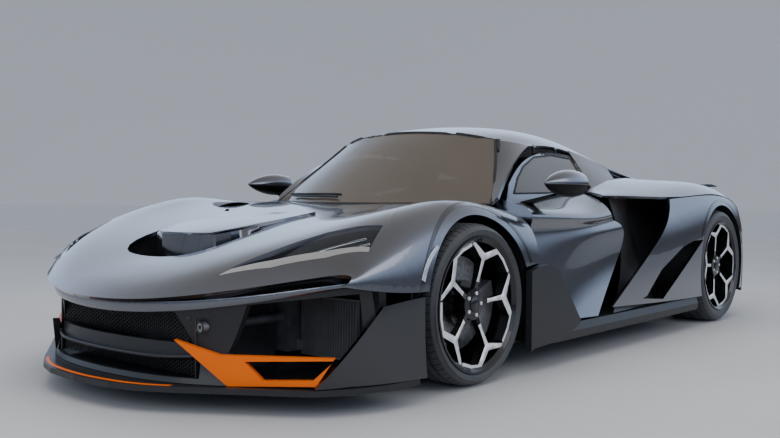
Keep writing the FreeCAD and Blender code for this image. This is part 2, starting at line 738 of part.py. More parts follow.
stalk_foot = [at(*point) for point in ((744, 580, 742), (744, 640, 742), (790, 650, 735), (790, 590, 735))]
stalk_head = [at(*point) for point in ((965, 650, 800), (965, 720, 800), (1000, 730, 800), (1000, 660, 800))]
stalk = Part.makeLoft([Part.makePolygon(stalk_foot + stalk_foot[:1]),
                       Part.makePolygon(stalk_head + stalk_head[:1])], True, True)
mirror_left = mirror_pod().fuse(stalk).cut(door)
feature("mirror_left", mirror_left)
feature("mirror_right", mirrored(mirror_left))

# Front fascia, splitter, vanes and corner blades

CENTRE_INTAKE = [(0, 352), (380, 352), (440, 240), (0, 240)]
LOWER_INTAKE = [(0, 190), (470, 190), (480, 118), (0, 118)]
CORNER_INTAKE = [(585, 112), (560, 210), (625, 385), (925, 428), (925, 112)]


def front_prism(outline, low, high):
    """Prism over a front outline of table (x, z) points, between two table stations."""
    corners = [at(x, low, z) for x, z in outline]
    face = Part.Face(Part.makePolygon(corners + corners[:1]))
    return face.extrude(at(0, high, 0) - at(0, low, 0))


fascia = panel(full_width(FASCIA), SKIN, (0, -300, 250))
for outline in (CENTRE_INTAKE, LOWER_INTAKE, CORNER_INTAKE):
    zone = front_prism(outline, -1300, -560)
    fascia = fascia.cut(zone).cut(mirrored(zone))
blade = panel(CORNER_BLADE, SKIN, (500, -400, 250))
feature("corner_blades", Part.makeCompound([blade, mirrored(blade)]))

SPLITTER = [
    (0, -1240), (200, -1222), (330, -1180), (450, -1110), (600, -1010), (760, -905), (860, -840),
    (940, -715), (985, -590), (1000, -420), (560, -420), (560, -700), (0, -700),
]
splitter = upright_prism(SPLITTER, 76, 98)
splitter = splitter.fuse(mirrored(splitter))
feature("splitter", splitter)

VANE_FACE = [(415, 258), (556, 208), (905, 208), (850, 108), (580, 99)]
VANE_HOLE = [(633, 188), (905, 200), (840, 128), (690, 122)]
vane_plane = [at(556, -1003, 0), at(930, -764, 0)]
vane_run = (vane_plane[1] - vane_plane[0]).normalize()


def vane_face(outline):
    """Face of the vane's upright plane through table (x, z) points."""
    corners = []
    for x, z in outline:
        reach = (at(x, 0, 0).x - vane_plane[0].x) / vane_run.x
        corners.append(vane_plane[0] + vane_run * reach + Vector(0, 0, at(0, 0, z).z))
    return Part.Face(Part.makePolygon(corners + corners[:1]))


vane_back = Vector(vane_run.y, -vane_run.x, 0) * -26
vane = vane_face(VANE_FACE).cut(vane_face(VANE_HOLE)).extrude(vane_back)
vane = seated(vane, blade)
feature("vanes", Part.makeCompound([vane, mirrored(vane)]))
beside = [splitter, blade, vane]
eye_hole = rod(at(481, -1300, 302), at(481, -800, 302), 19)
fascia = seated(fascia, beside + [mirrored(one) for one in beside] + [eye_hole])
feature("fascia", fascia)

bumper = panel(full_width(BUMPER_STRIP), 10, (0, -300, 250))
bumper = seated(bumper, [fascia, nose, fender_left, mirrored(fender_left)] + [blade, mirrored(blade)])
feature("bumper_strip", bumper)

# Floor, tub and frames

FLOOR = [
    (0, -699), (530, -699), (530, 430), (799, 450), (799, 2250), (560, 2290), (560, 2899.7), (0, 2899.7),
]
underbody = upright_prism(FLOOR, size("floor_bottom"), size("floor_top"))
feature("underbody", underbody.fuse(mirrored(underbody)))

tub = body_named("tub")
BULKHEAD_TOP = 880
COWL_TOP = 640
BEAM_FRONT = 450
TUB_OVERLAP = 500
under = up(size("floor_top"))
floor = up(size("tub_floor"))
front = size("tub_front")
rear = size("tub_rear")
wall = size("tub_wall")
half_tub = size("tub_width") / 2
beam_inner = half_tub - size("sill_beam_width")
beam_top = up(size("sill_beam_top"))
bulkhead_top = up(BULKHEAD_TOP)
cowl_top = up(COWL_TOP)
shell_line = [(along(y), z) for y, z in (
    (front, under), (rear, under), (rear, bulkhead_top), (rear - wall, bulkhead_top),
    (rear - wall, floor), (front + wall, floor), (front + wall, cowl_top), (front, cowl_top))]
pad(tub, sketch_on(tub, "YZ_Plane", lines(shell_line)), "2 * 530", symmetric=True)
for side in (-1, 1):
    beam = [(side * x, z) for x, z in (
        (TUB_OVERLAP, under), (half_tub, under), (half_tub, beam_top), (beam_inner, beam_top),
        (beam_inner, floor), (TUB_OVERLAP, floor))]
    sketch = sketch_on(tub, "XZ_Plane", lines(beam), lift=-along(BEAM_FRONT))
    pad(tub, sketch, "sizes.tub_rear - %d" % BEAM_FRONT, reverse=True)
    post = [(side * x, z) for x, z in (
        (TUB_OVERLAP, beam_top - 10), (half_tub, beam_top - 10), (half_tub, cowl_top - 15),
        (TUB_OVERLAP, cowl_top - 15))]
    sketch = sketch_on(tub, "XZ_Plane", lines(post), lift=-along(BEAM_FRONT))
    pad(tub, sketch, "45", reverse=True)

front_frame = block((-520, -640, 170), (520, 300, 550))
front_frame = front_frame.cut(block((-470, -600, 100), (470, 260, 600)))
front_frame = front_frame.cut(block((-600, -540, 240), (600, -180, 480)))
front_frame = front_frame.cut(block((-600, 180, 240), (600, 260, 480)))
front_frame = front_frame.cut(block((-400, -700, 240), (400, -500, 480)))
front_frame = front_frame.cut(block((-330, -700, 400), (330, -500, 600)))
# Towing eye: a threaded boss that ends in the fascia
TOW_EYE = (481, -1030, 302)
eye_mouth = at(*TOW_EYE)
eye_root = at(TOW_EYE[0], -610, TOW_EYE[2])
front_frame = front_frame.fuse(rod(eye_root, eye_mouth, 18))
eye_end = eye_mouth + Vector(0, size("tow_eye_depth"), 0)
front_frame = front_frame.cut(rod(eye_end, eye_mouth - Vector(0, 5, 0), size("tow_eye_radius")))

rear_frame = block((-520, 1800, 170), (520, 3160, 560))
rear_frame = rear_frame.cut(block((-460, 1860, 100), (460, 3110, 600)))
rear_frame = rear_frame.cut(block((-600, 1900, 240), (600, 2440, 490)))
rear_frame = rear_frame.cut(block((-600, 2900, 240), (600, 3080, 490)))
rear_frame = rear_frame.cut(block((-600, 2900, 100), (600, 3300, 206)))
feature("engine", block((-300, 1860, 200), (300, 2500, 690)).fuse(block((-190, 2500, 230), (190, 3100, 520))))

# Wheels: X is the axle, outwards

BEAD_INSET = 14.0
FLANGE_HEIGHT = 18.0
FLANGE_WIDTH = 9.0
BARREL = 7.0
SPOKE_DEPTH = 42.0
DISH = 22.0
HUB_BACK = -30.0
BORE_END = 45.0
DISC_OUT = 12.0


def tyre_edges(radius, width, rim):
    """Half-round shoulders, bulged walls and a crown, around the rim's seat."""
    half = width / 2
    bead = half - BEAD_INSET
    seat = rim - FLANGE_HEIGHT
    foot = rim + SEAM
    middle = (foot + radius) / 2
    shoulder = (half - 16, radius - 13)
    crown = (half - 40, radius - 2)

    def point(x, r):
        return Vector(x, r, 0)

    right = [
        Part.LineSegment(point(bead, seat), point(bead, foot)),
        Part.Arc(point(bead, foot), point(half, middle), point(*shoulder)),
        Part.Arc(point(*shoulder), point(half - 25, radius - 5.5), point(*crown)),
    ]
    top = Part.Arc(point(*crown), point(0, radius), point(-crown[0], crown[1]))
    left = [
        Part.Arc(point(-crown[0], crown[1]), point(25 - half, radius - 5.5), point(-shoulder[0], shoulder[1])),
        Part.Arc(point(-shoulder[0], shoulder[1]), point(-half, middle), point(-bead, foot)),
        Part.LineSegment(point(-bead, foot), point(-bead, seat)),
    ]
    return right + [top] + left + [Part.LineSegment(point(-bead, seat), point(bead, seat))]


# One spoke on a rim of radius 268: a stem that forks, whose right arm follows the rim clockwise
SPOKE = [
    (-15, 36), (-8, 120), (-11, 192), (-103, 244), (-86, 253), (0, 221), (78, 256), (146, 224), (199, 179),
    (189, 170), (138, 213), (95, 236), (11, 192), (8, 120), (15, 36),
]
SPOKE_RIM = 268.0
FRONT_SPOKE_TURN = -13.0
REAR_SPOKE_TURN = 15.0


def wheel_bodies(name, radius, width, rim, disc, turn, place):
    """Tyre, and rim with hub and brake disc."""
    tyre = body_named("tyre_" + name)
    revolve(tyre, sketch_on(tyre, "XY_Plane", tyre_edges(radius, width, rim)))
    tyre.Placement = place

    wheel = body_named("wheel_" + name)
    bead = width / 2 - BEAD_INSET
    seat = rim - FLANGE_HEIGHT
    edge = bead + FLANGE_WIDTH
    barrel = [
        (bead, seat), (bead, rim), (edge, rim), (edge, rim - 8), (bead - 6, seat - BARREL),
        (-bead + 6, seat - BARREL), (-edge, rim - 8), (-edge, rim), (-bead, rim), (-bead, seat),
    ]
    revolve(wheel, sketch_on(wheel, "XY_Plane", lines(barrel)))
    face = bead - 3
    scale = (seat - 3) / SPOKE_RIM
    outline = [(y * scale, z * scale) for y, z in SPOKE]
    spoke = pad(wheel, sketch_on(wheel, "YZ_Plane", lines(outline), lift=face - SPOKE_DEPTH), str(SPOKE_DEPTH))
    ring = body_pattern(wheel, spoke, 5)
    bore = size("stub_radius") + size("running_clearance")
    cap = face - DISH + 3
    hub = [
        (HUB_BACK, bore), (HUB_BACK, 58), (DISC_OUT - size("disc_thickness"), 62),
        (DISC_OUT - size("disc_thickness"), disc), (DISC_OUT, disc), (DISC_OUT, 98), (40, 98), (40, 74),
        (cap, 64), (cap, 0), (BORE_END, 0), (BORE_END, bore),
    ]
    revolve(wheel, sketch_on(wheel, "XY_Plane", lines(hub)))
    dish = [(face + 5, 0), (cap + 0.5, 0), (cap + 0.5, 30), (face - DISH, 66), (face, 236), (face + 5, 236)]
    groove(wheel, sketch_on(wheel, "XY_Plane", lines(dish)))
    wheel.Placement = place.multiply(Placement(Vector(), Rotation(Vector(1, 0, 0), turn)))


def body_pattern(body, feature_item, count):
    """Copies of a feature round the body's X axis."""
    item = body.newObject("PartDesign::PolarPattern", body.Label + "_ring")
    item.Originals = [feature_item]
    item.Axis = (origin_feature(body, "X_Axis"), [""])
    item.Angle = 360.0
    item.Occurrences = count
    body.Tip = item
    doc.recompute()
    return item


KNUCKLE_PLATE = [(-38, -120), (38, -120), (64, -60), (206, -92), (206, 20), (64, 70), (30, 168), (-30, 168), (-60, 0)]
PLATE_BACK = -64.0
PLATE_FRONT = -44.0


def knuckle(disc):
    """Upright with stub axle, kingpin boss and caliper, in the wheel's own axes."""
    plate = Part.Face(Part.makePolygon([Vector(PLATE_BACK, y, z) for y, z in KNUCKLE_PLATE + KNUCKLE_PLATE[:1]]))
    plate = plate.extrude(Vector(PLATE_FRONT - PLATE_BACK, 0, 0))
    stub = Part.makeCylinder(size("stub_radius"), BORE_END - PLATE_BACK - 1, Vector(PLATE_BACK, 0, 0), Vector(1, 0, 0))
    inset = size("kingpin_inset")
    half_eye = size("arm_eye_height") / 2
    low = -size("lower_arm_drop")
    high = size("upper_arm_rise")
    kingpin = Part.makeCylinder(size("kingpin_radius"), high - low + 2 * half_eye, Vector(-inset, 0, low - half_eye))
    boss = Part.makeCylinder(21, high - low - 2 * half_eye - 2 * SEAM, Vector(-inset, 0, low + half_eye + SEAM))
    gap = 5.5
    back = DISC_OUT - size("disc_thickness") - gap
    front = DISC_OUT + gap
    section = [
        (back, 118), (back, disc + 6), (front, disc + 6), (front, 118), (front + 22, 118),
        (front + 22, disc + 27), (back - 22, disc + 27), (back - 22, 118),
    ]
    wire = Part.makePolygon([Vector(x, r, 0) for x, r in section + section[:1]])
    caliper = Part.Face(wire).revolve(Vector(0, 0, 0), Vector(1, 0, 0), 64)
    caliper.rotate(Vector(0, 0, 0), Vector(1, 0, 0), -42)
    return plate.fuse([stub, kingpin, boss, caliper])


def arm(height, kingpin_x, inner_x, axle, spread):
    """Wishbone: an eye round the kingpin and two tubes to the frame."""
    eye_radius = size("arm_eye_radius")
    half = size("arm_eye_height") / 2
    centre = Vector(kingpin_x, axle, height)
    eye = Part.makeCylinder(eye_radius, 2 * half, centre - Vector(0, 0, half))
    tubes = []
    for side in (-1, 1):
        tubes.append(rod(centre, Vector(inner_x, axle + side * spread, height), size("arm_tube_radius")))
    shape = eye.fuse(tubes)
    bore = Part.makeCylinder(size("kingpin_radius") + size("running_clearance"), 4 * half, centre - Vector(0, 0, 2 * half))
    clear = Part.makeCylinder(21 + 1, 4 * half, centre - Vector(0, 0, 2 * half))
    keep = eye.cut(bore)
    return shape.cut(clear.cut(Part.makeCylinder(23, 2 * half, centre - Vector(0, 0, half)))).cut(bore).fuse(keep)


arms = []
for end, axle, face, width, radius, disc, turn in (
        ("front", FRONT_AXLE, size("front_wheel_face"), size("front_tyre_width"),
         size("front_tyre_radius"), size("front_disc_radius"), FRONT_SPOKE_TURN),
        ("rear", REAR_AXLE, size("rear_wheel_face"), size("rear_tyre_width"),
         size("rear_tyre_radius"), size("rear_disc_radius"), REAR_SPOKE_TURN)):
    centre_x = face - width / 2
    rim = size(end + "_rim_radius")
    left = Placement(Vector(centre_x, axle, radius), Rotation())
    right = Placement(Vector(-centre_x, axle, radius), Rotation(Vector(0, 0, 1), 180))
    wheel_bodies(end + "_left", radius, width, rim, disc, turn, left)
    wheel_bodies(end + "_right", radius, width, rim, disc, turn, right)
    upright = knuckle(disc)
    if end == "rear":
        upright = upright.mirror(Vector(0, 0, 0), Vector(0, 1, 0))
    upright.translate(Vector(centre_x, axle, radius))
    if end == "front":
        feature("knuckle_front_left", upright)
        feature("knuckle_front_right", mirrored(upright))
    else:
        feature("rear_knuckles", Part.makeCompound([upright, mirrored(upright)]))
    kingpin_x = centre_x - size("kingpin_inset")
    for height in (radius - size("lower_arm_drop"), radius + size("upper_arm_rise")):
        one = arm(height, kingpin_x, at(520, 0, 0).x, axle, 130)
        arms += [one, mirrored(one)]
arms = [seated(one, [front_frame, rear_frame]) for one in arms]
feature("suspension", Part.makeCompound(arms))

# Sills with the front wheel's rear surround

SILL = [(800, 101), (860, 101), (1000, 112), (1006, 150), (992, 186), (800, 186)]
sill_face = Part.Face(Part.makePolygon([at(x, 560, z) for x, z in SILL + SILL[:1]]))
sill = sill_face.extrude(at(0, 2280, 0) - at(0, 560, 0))
blade_plate = side_prism(SIDE_BLADE, 978, 1010)
sill_left = seated(sill.fuse(blade_plate), fender_left)
feature("sills", Part.makeCompound([sill_left, mirrored(sill_left)]))
side_duct = seated(side_duct, [sill_left])
feature("ducts", Part.makeCompound([hood_duct, side_duct, mirrored(side_duct)]))

# Radiators behind the intakes

SLAT_COUNT = 24
SLAT_STEP = 9.0
corner_radiator = block((520, -560, 205), (925, -530, 425))
slats = [block((520, -566, 206 + i * SLAT_STEP), (925, -560, 210 + i * SLAT_STEP)) for i in range(SLAT_COUNT)]
posts = [block((x - 3, -569, 205), (x + 3, -560, 425)) for x in (523, 604, 684, 764, 844, 922)]
corner_radiator = corner_radiator.fuse(slats + posts)
centre_radiator = block((-460, -690, 125), (460, -650, 396))
feature("radiators", Part.makeCompound([corner_radiator, mirrored(corner_radiator), centre_radiator]))

# Lamps

LAMP_BOWL = [
    (505, -1020), (620, -800), (708, -625), (785, -520), (868, -455), (945, -625), (850, -775),
    (700, -915),
]
bowl = layer(full_width(FRONT_BODY), SKIN + SEAM, 55, INSIDE_NOSE).common(upright_prism(LAMP_BOWL, 350, 760))
hollow = layer(full_width(FRONT_BODY), 10, 47, INSIDE_NOSE).common(upright_prism(LAMP_SLIT, 350, 760))
lamp = seated(bowl, [hollow, fender_left, fascia, front_liner, bumper])
feature("headlamps", Part.makeCompound([lamp, mirrored(lamp)]))
lens = layer(full_width(FRONT_BODY), 3, 7, INSIDE_NOSE).common(upright_prism(LAMP_LENS, 350, 760))
blade_bar = layer(full_width(FRONT_BODY), 2, 12, INSIDE_NOSE).common(upright_prism(LAMP_BLADE, 350, 760))
lens = seated(lens, [blade_bar, nose, fender_left])
blade_bar = seated(blade_bar, [nose, fender_left])
feature("lamp_lenses", Part.makeCompound([lens, mirrored(lens)]))
feature("lamp_blades", Part.makeCompound([blade_bar, mirrored(blade_bar)]))

# Tail

INSIDE_TAIL = (0, 2500, 500)
tail = panel(full_width(TAIL), SKIN, INSIDE_TAIL)
TAIL_MESH = [(0, 715), (540, 705), (600, 400), (0, 400)]
mesh_zone = front_prism(TAIL_MESH, 3000, 3500)
tail = tail.cut(mesh_zone).cut(mirrored(mesh_zone))
tips = []
for side in (-1, 1):
    outer = rod(at(side * 120, 2500, 632), at(side * 120, 3350, 632), size("exhaust_radius"))
    inner = rod(at(side * 120, 3120, 632), at(side * 120, 3400, 632), size("exhaust_radius") - 4)
    tips.append(outer.cut(inner))
feature("exhausts", Part.makeCompound(tips))
DIFFUSER = [(2900, 95), (3300, 226), (3300, 244), (2900, 125)]
DIFFUSER_PLAN = [(-560, 2890), (-560, 3238), (-300, 3284), (300, 3284), (560, 3238), (560, 2890)]
FIN = [(2930, 100), (3300, 130), (3300, 232), (2930, 112)]
FIN_PLACES = (-540, -270, 0, 270, 540)
valance = seated(panel(full_width(VALANCE), SKIN, INSIDE_TAIL), [quarter_left, mirrored(quarter_left)])
plate = side_prism(DIFFUSER, -560, 560)
plate = plate.fuse([side_prism(FIN, x - 5, x + 5) for x in FIN_PLACES])
plate = plate.common(upright_prism(DIFFUSER_PLAN, 0, 500)).fuse(valance)
feature("diffuser", plate)
TAIL_LAMP = [(560, 770), (860, 722), (940, 706), (940, 676), (860, 694), (560, 744)]
lamp_bar = layer(full_width(TAIL), 2, 30, INSIDE_TAIL).common(front_prism(TAIL_LAMP, 2900, 3400))
lamp_bar = seated(lamp_bar, [quarter_left])
feature("tail_lamps", Part.makeCompound([lamp_bar, mirrored(lamp_bar)]))
beside = [quarter_left, lamp_bar, plate]
tail = seated(tail, beside + [mirrored(one) for one in beside])
feature("tail", tail)
WING = [(3120, 864), (3180, 882), (3300, 882), (3395, 870), (3395, 866), (3300, 864), (3180, 860)]
WING_ROD = (450, 3135)
ROD_FOOT = 690
GUIDE_TOP = 830
guide_bore = size("wing_rod_radius") + size("running_clearance")
wing = side_prism(WING, -700, 700)
for side in (-1, 1):
    x, y = side * WING_ROD[0], WING_ROD[1]
    wing = wing.fuse(rod(at(x, y, ROD_FOOT), at(x, y, 868), size("wing_rod_radius")))
    guide = rod(at(x, y, 500), at(x, y, GUIDE_TOP), size("wing_rod_radius") + 8)
    rear_frame = rear_frame.fuse(guide).cut(rod(at(x, y, ROD_FOOT - 50), at(x, y, GUIDE_TOP + 5), guide_bore))
    rear_deck = rear_deck.cut(rod(at(x, y, GUIDE_TOP), at(x, y, 900), size("wing_rod_radius") + 5))
feature("wing", wing)
feature("frames", Part.makeCompound([front_frame, rear_frame]))
feature("rear_deck", rear_deck)

# Cabin

SEAT = [
    (900, 165.3), (1380, 165.3), (1560, 560), (1640, 860), (1560, 880), (1420, 560), (1330, 330), (960, 370), (900, 340),
]
seat = side_prism(SEAT, 130, 590)
feature("seats", Part.makeCompound([seat, mirrored(seat)]))
DASH = [(430, 560), (430, 700), (560, 735), (720, 720), (760, 650), (700, 560)]
wheel_centre = at(340, 860, 680)
column_end = at(340, 740, 640)
axis = (wheel_centre - column_end).normalize()
steering = Part.makeTorus(size("steering_wheel_radius"), size("steering_rim_radius"), wheel_centre, axis)
column = rod(column_end, wheel_centre, size("column_radius"))
socket = rod(column_end - axis, wheel_centre, size("column_radius") + size("running_clearance"))
feature("dashboard", side_prism(DASH, -500, 500).cut(socket))
spokes = Part.makeBox(2 * size("steering_wheel_radius"), 30, 12)
spokes.translate(Vector(-size("steering_wheel_radius"), -15, -6))
spokes.Placement = Placement(wheel_centre, Rotation(Vector(0, 0, 1), axis)).multiply(spokes.Placement)
feature("steering_wheel", steering.fuse([column, spokes]))

# Check and write every sub-part

doc.recompute()
for item in doc.Objects:
    if "Invalid" in item.State or "Error" in item.State:
        raise ValueError("%s failed: %s" % (item.Label, item.State))

for item in doc.Objects:
    if item.TypeId not in ("Part::Feature", "PartDesign::Body"):
        continue
    shape = item.Shape
    if shape.isNull() or not shape.isValid() or not shape.Solids:
        raise ValueError("%s has no valid solid" % item.Label)
    print(item.Label, len(shape.Solids), round(shape.Volume / 1e6, 2), len(shape.Faces))
    shape.exportStep("parts/%s.step" % item.Label)
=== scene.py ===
"""Dresses the supercar's CAD frame with finishes, fine pieces, a camera, a floor and light.

Lengths are in metres. +X is the car's left, the nose points towards -Y and +Z is up.
"""

import json
import math
from collections import namedtuple

import bmesh
import bpy
from bpy.props import FloatProperty, FloatVectorProperty, IntProperty, PointerProperty
from mathutils import Matrix, Vector
from mathutils.bvhtree import BVHTree


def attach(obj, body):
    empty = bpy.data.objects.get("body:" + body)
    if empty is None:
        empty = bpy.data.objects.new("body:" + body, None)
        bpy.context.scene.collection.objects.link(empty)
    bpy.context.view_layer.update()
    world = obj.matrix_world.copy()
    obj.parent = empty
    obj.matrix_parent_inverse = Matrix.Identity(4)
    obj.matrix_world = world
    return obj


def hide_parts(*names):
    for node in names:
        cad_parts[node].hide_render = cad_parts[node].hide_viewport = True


bl_info = {
    "name": "Supercar dressing",
    "version": (1, 0, 0),
    "blender": (4, 5, 0),
    "location": "View3D > Sidebar > Supercar",
    "description": "Dresses the supercar's CAD frame with finishes and fine detail",
    "category": "Object",
}

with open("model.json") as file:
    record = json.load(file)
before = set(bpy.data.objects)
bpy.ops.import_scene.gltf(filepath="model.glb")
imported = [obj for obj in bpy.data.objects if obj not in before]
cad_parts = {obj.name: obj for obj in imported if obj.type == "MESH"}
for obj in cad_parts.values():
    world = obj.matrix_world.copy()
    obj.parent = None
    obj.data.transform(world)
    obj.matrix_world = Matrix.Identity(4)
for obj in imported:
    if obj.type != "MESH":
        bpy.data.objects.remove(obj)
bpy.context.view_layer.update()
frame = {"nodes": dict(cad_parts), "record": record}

# Main measures of the car, which the fine pieces follow
FRONT_AXLE = -1.0775
REAR_AXLE = 1.6025
FRONT_TYRE = 0.334  # radius, and so the height of the axle
REAR_TYRE = 0.354

SIDES = ((1, "left"), (-1, "right"))

# Ways in which points are sent to land on the CAD surfaces
DOWN = Vector((0, 0, -1))
TO_TAIL = Vector((0, 1, 0))
TO_NOSE = Vector((0, -1, 0))
TO_RIGHT = Vector((-1, 0, 0))
ABOVE_CAR = 2.0
BEFORE_CAR = -3.0
BEHIND_CAR = 3.5
LEFT_OF_CAR = 1.4


# Settings


class PaintSettings(bpy.types.PropertyGroup):
    """Colours of the car's finishes."""

    body: FloatVectorProperty(
        name="Body", description="Metallic body paint", subtype="COLOR", size=3, min=0, max=1,
        default=(0.135, 0.142, 0.165))
    accent: FloatVectorProperty(
        name="Accent", description="Bright trim on the vanes and splitter", subtype="COLOR", size=3,
        min=0, max=1, default=(0.85, 0.14, 0.0))
    fibre: FloatVectorProperty(
        name="Woven fibre", description="Lower body panels", subtype="COLOR", size=3, min=0, max=1,
        default=(0.011, 0.011, 0.013))
    trim: FloatVectorProperty(
        name="Trim", description="Black trim and grilles", subtype="COLOR", size=3, min=0, max=1,
        default=(0.012, 0.012, 0.013))


class WheelSettings(bpy.types.PropertyGroup):
    """Detail of the tyres."""

    tread_blocks: IntProperty(
        name="Tread blocks", description="Cross grooves round each tyre", default=64, min=12,
        max=90)
    groove_depth: FloatProperty(
        name="Groove depth", description="Depth of the tread grooves", default=0.006,
        unit="LENGTH", precision=4)


class TrimSettings(bpy.types.PropertyGroup):
    """Sizes of the fine trim."""

    glass_seal: FloatProperty(
        name="Glass seal", description="Radius of the windscreen's and the rear window's seal",
        default=0.008, unit="LENGTH", precision=4)
    door_seal: FloatProperty(
        name="Door seal", description="Radius of the door windows' seal", default=0.005,
        unit="LENGTH", precision=4)
    # Width of the band of painted shade round each wheel arch's edge
    arch_lip_shade: FloatProperty(
        name="Arch edge", description="Width of the dark band round each wheel arch",
        default=0.017, unit="LENGTH", precision=4)
    louvres: IntProperty(
        name="Louvres", description="Upright slats in front of each side radiator", default=22,
        min=4, max=22)


class CameraSettings(bpy.types.PropertyGroup):
    """Where the picture is taken from."""

    place: FloatVectorProperty(
        name="Place", description="Camera position", subtype="TRANSLATION", unit="LENGTH", size=3,
        default=(3.024, -4.0745, 0.769))
    heading: FloatProperty(
        name="Heading", description="Turn to the left of straight ahead", subtype="ANGLE",
        default=math.radians(40.19))
    pitch: FloatProperty(
        name="Pitch", description="Tilt below the horizon", subtype="ANGLE",
        default=math.radians(1.378))
    roll: FloatProperty(
        name="Roll", description="Turn about the line of sight", subtype="ANGLE",
        default=math.radians(0.47))
    lens: FloatProperty(
        name="Lens", description="Focal length in millimetres", default=40.92, min=10)


class LightSettings(bpy.types.PropertyGroup):
    """Strength of the studio's light."""

    top: FloatProperty(
        name="Top box", description="Soft box overhead", default=230, min=0, unit="POWER")
    fill: FloatProperty(
        name="Fill boxes", description="Soft boxes in front and at the side", default=70, min=0,
        unit="POWER")
    sky: FloatProperty(
        name="Sky", description="Strength of the even light all round", default=0.75, min=0)


# Materials


def new_material(name, **sockets):
    """Principled material whose plain values sit on the shader's own sockets."""
    material = bpy.data.materials.new(name)
    material.use_nodes = True
    for socket, value in sockets.items():
        label = socket.replace("_", " ").title().replace("Ior", "IOR")
        shader_of(material).inputs[label].default_value = value
    return material


def shader_of(material):
    """The material's surface shader."""
    return material.node_tree.nodes["Principled BSDF"]


def add_node(material, kind, **values):
    """One more node, its inputs and settings given by name."""
    node = material.node_tree.nodes.new(kind)
    for key, value in values.items():
        if hasattr(node, key):
            setattr(node, key, value)
        else:
            node.inputs[key.replace("_", " ").title()].default_value = value
    return node


def link(material, source, socket, target, entry):
    """Joins two nodes by their sockets."""
    material.node_tree.links.new(source.outputs[socket], target.inputs[entry])


def shade(colour, factor):
    """A colour made darker or lighter."""
    return tuple(min(1.0, channel * factor) for channel in colour)


def colour_ramp(material, dark, light):
    """Ramp from a dark to a light colour that feeds the shader's base colour."""
    ramp = add_node(material, "ShaderNodeValToRGB")
    for stop, colour in zip(ramp.color_ramp.elements, (dark, light)):
        stop.color = tuple(colour) + (1.0,)
    link(material, ramp, "Color", shader_of(material), "Base Color")
    return ramp


def grain(material, scale, strength):
    """Fine bumps from noise on the piece's own coordinates."""
    where = add_node(material, "ShaderNodeTexCoord")
    noise = add_node(material, "ShaderNodeTexNoise", scale=scale, detail=3.0)
    bump = add_node(material, "ShaderNodeBump", strength=strength, distance=0.001)
    link(material, where, "Object", noise, "Vector")
    link(material, noise, "Fac", bump, "Height")
    link(material, bump, "Normal", shader_of(material), "Normal")


def mottle(material, scale, dark, light):
    """Slow change of colour over the surface."""
    where = add_node(material, "ShaderNodeTexCoord")
    noise = add_node(material, "ShaderNodeTexNoise", scale=scale, detail=4.0)
    ramp = colour_ramp(material, dark, light)
    for stop, position in zip(ramp.color_ramp.elements, (0.35, 0.68)):
        stop.position = position
    link(material, where, "Object", noise, "Vector")
    link(material, noise, "Fac", ramp, "Fac")


def make_paint(name, colour):
    """Metallic paint: fine flakes under a clear coat."""
    paint = new_material(
        name, metallic=1.0, roughness=0.25, coat_weight=1.0, coat_roughness=0.04)
    where = add_node(paint, "ShaderNodeTexCoord")
    flakes = add_node(paint, "ShaderNodeTexVoronoi", scale=900.0)
    ramp = colour_ramp(paint, shade(colour, 0.82), shade(colour, 1.25))
    link(paint, where, "Object", flakes, "Vector")
    link(paint, flakes, "Color", ramp, "Fac")
    return paint


def make_weave(colour):
    """Twill of woven fibre under lacquer, from two crossed sets of stripes."""
    weave = new_material(
        "woven_fibre", metallic=0.0, roughness=0.5, specular_ior_level=0.3,
        coat_weight=0.25, coat_roughness=0.2)
    where = add_node(weave, "ShaderNodeTexCoord")
    ply = add_node(weave, "ShaderNodeMath", operation="MULTIPLY")
    for entry, turn in enumerate((0.6, -0.9)):
        mapping = add_node(weave, "ShaderNodeMapping", rotation=(turn, 0.5, 0.785))
        stripes = add_node(weave, "ShaderNodeTexWave", scale=78.0, distortion=0.0)
        link(weave, where, "Object", mapping, "Vector")
        link(weave, mapping, "Vector", stripes, "Vector")
        link(weave, stripes, "Fac", ply, entry)
    ramp = colour_ramp(weave, shade(colour, 0.95), shade(colour, 1.5))
    link(weave, ply, "Value", ramp, "Fac")
    return weave


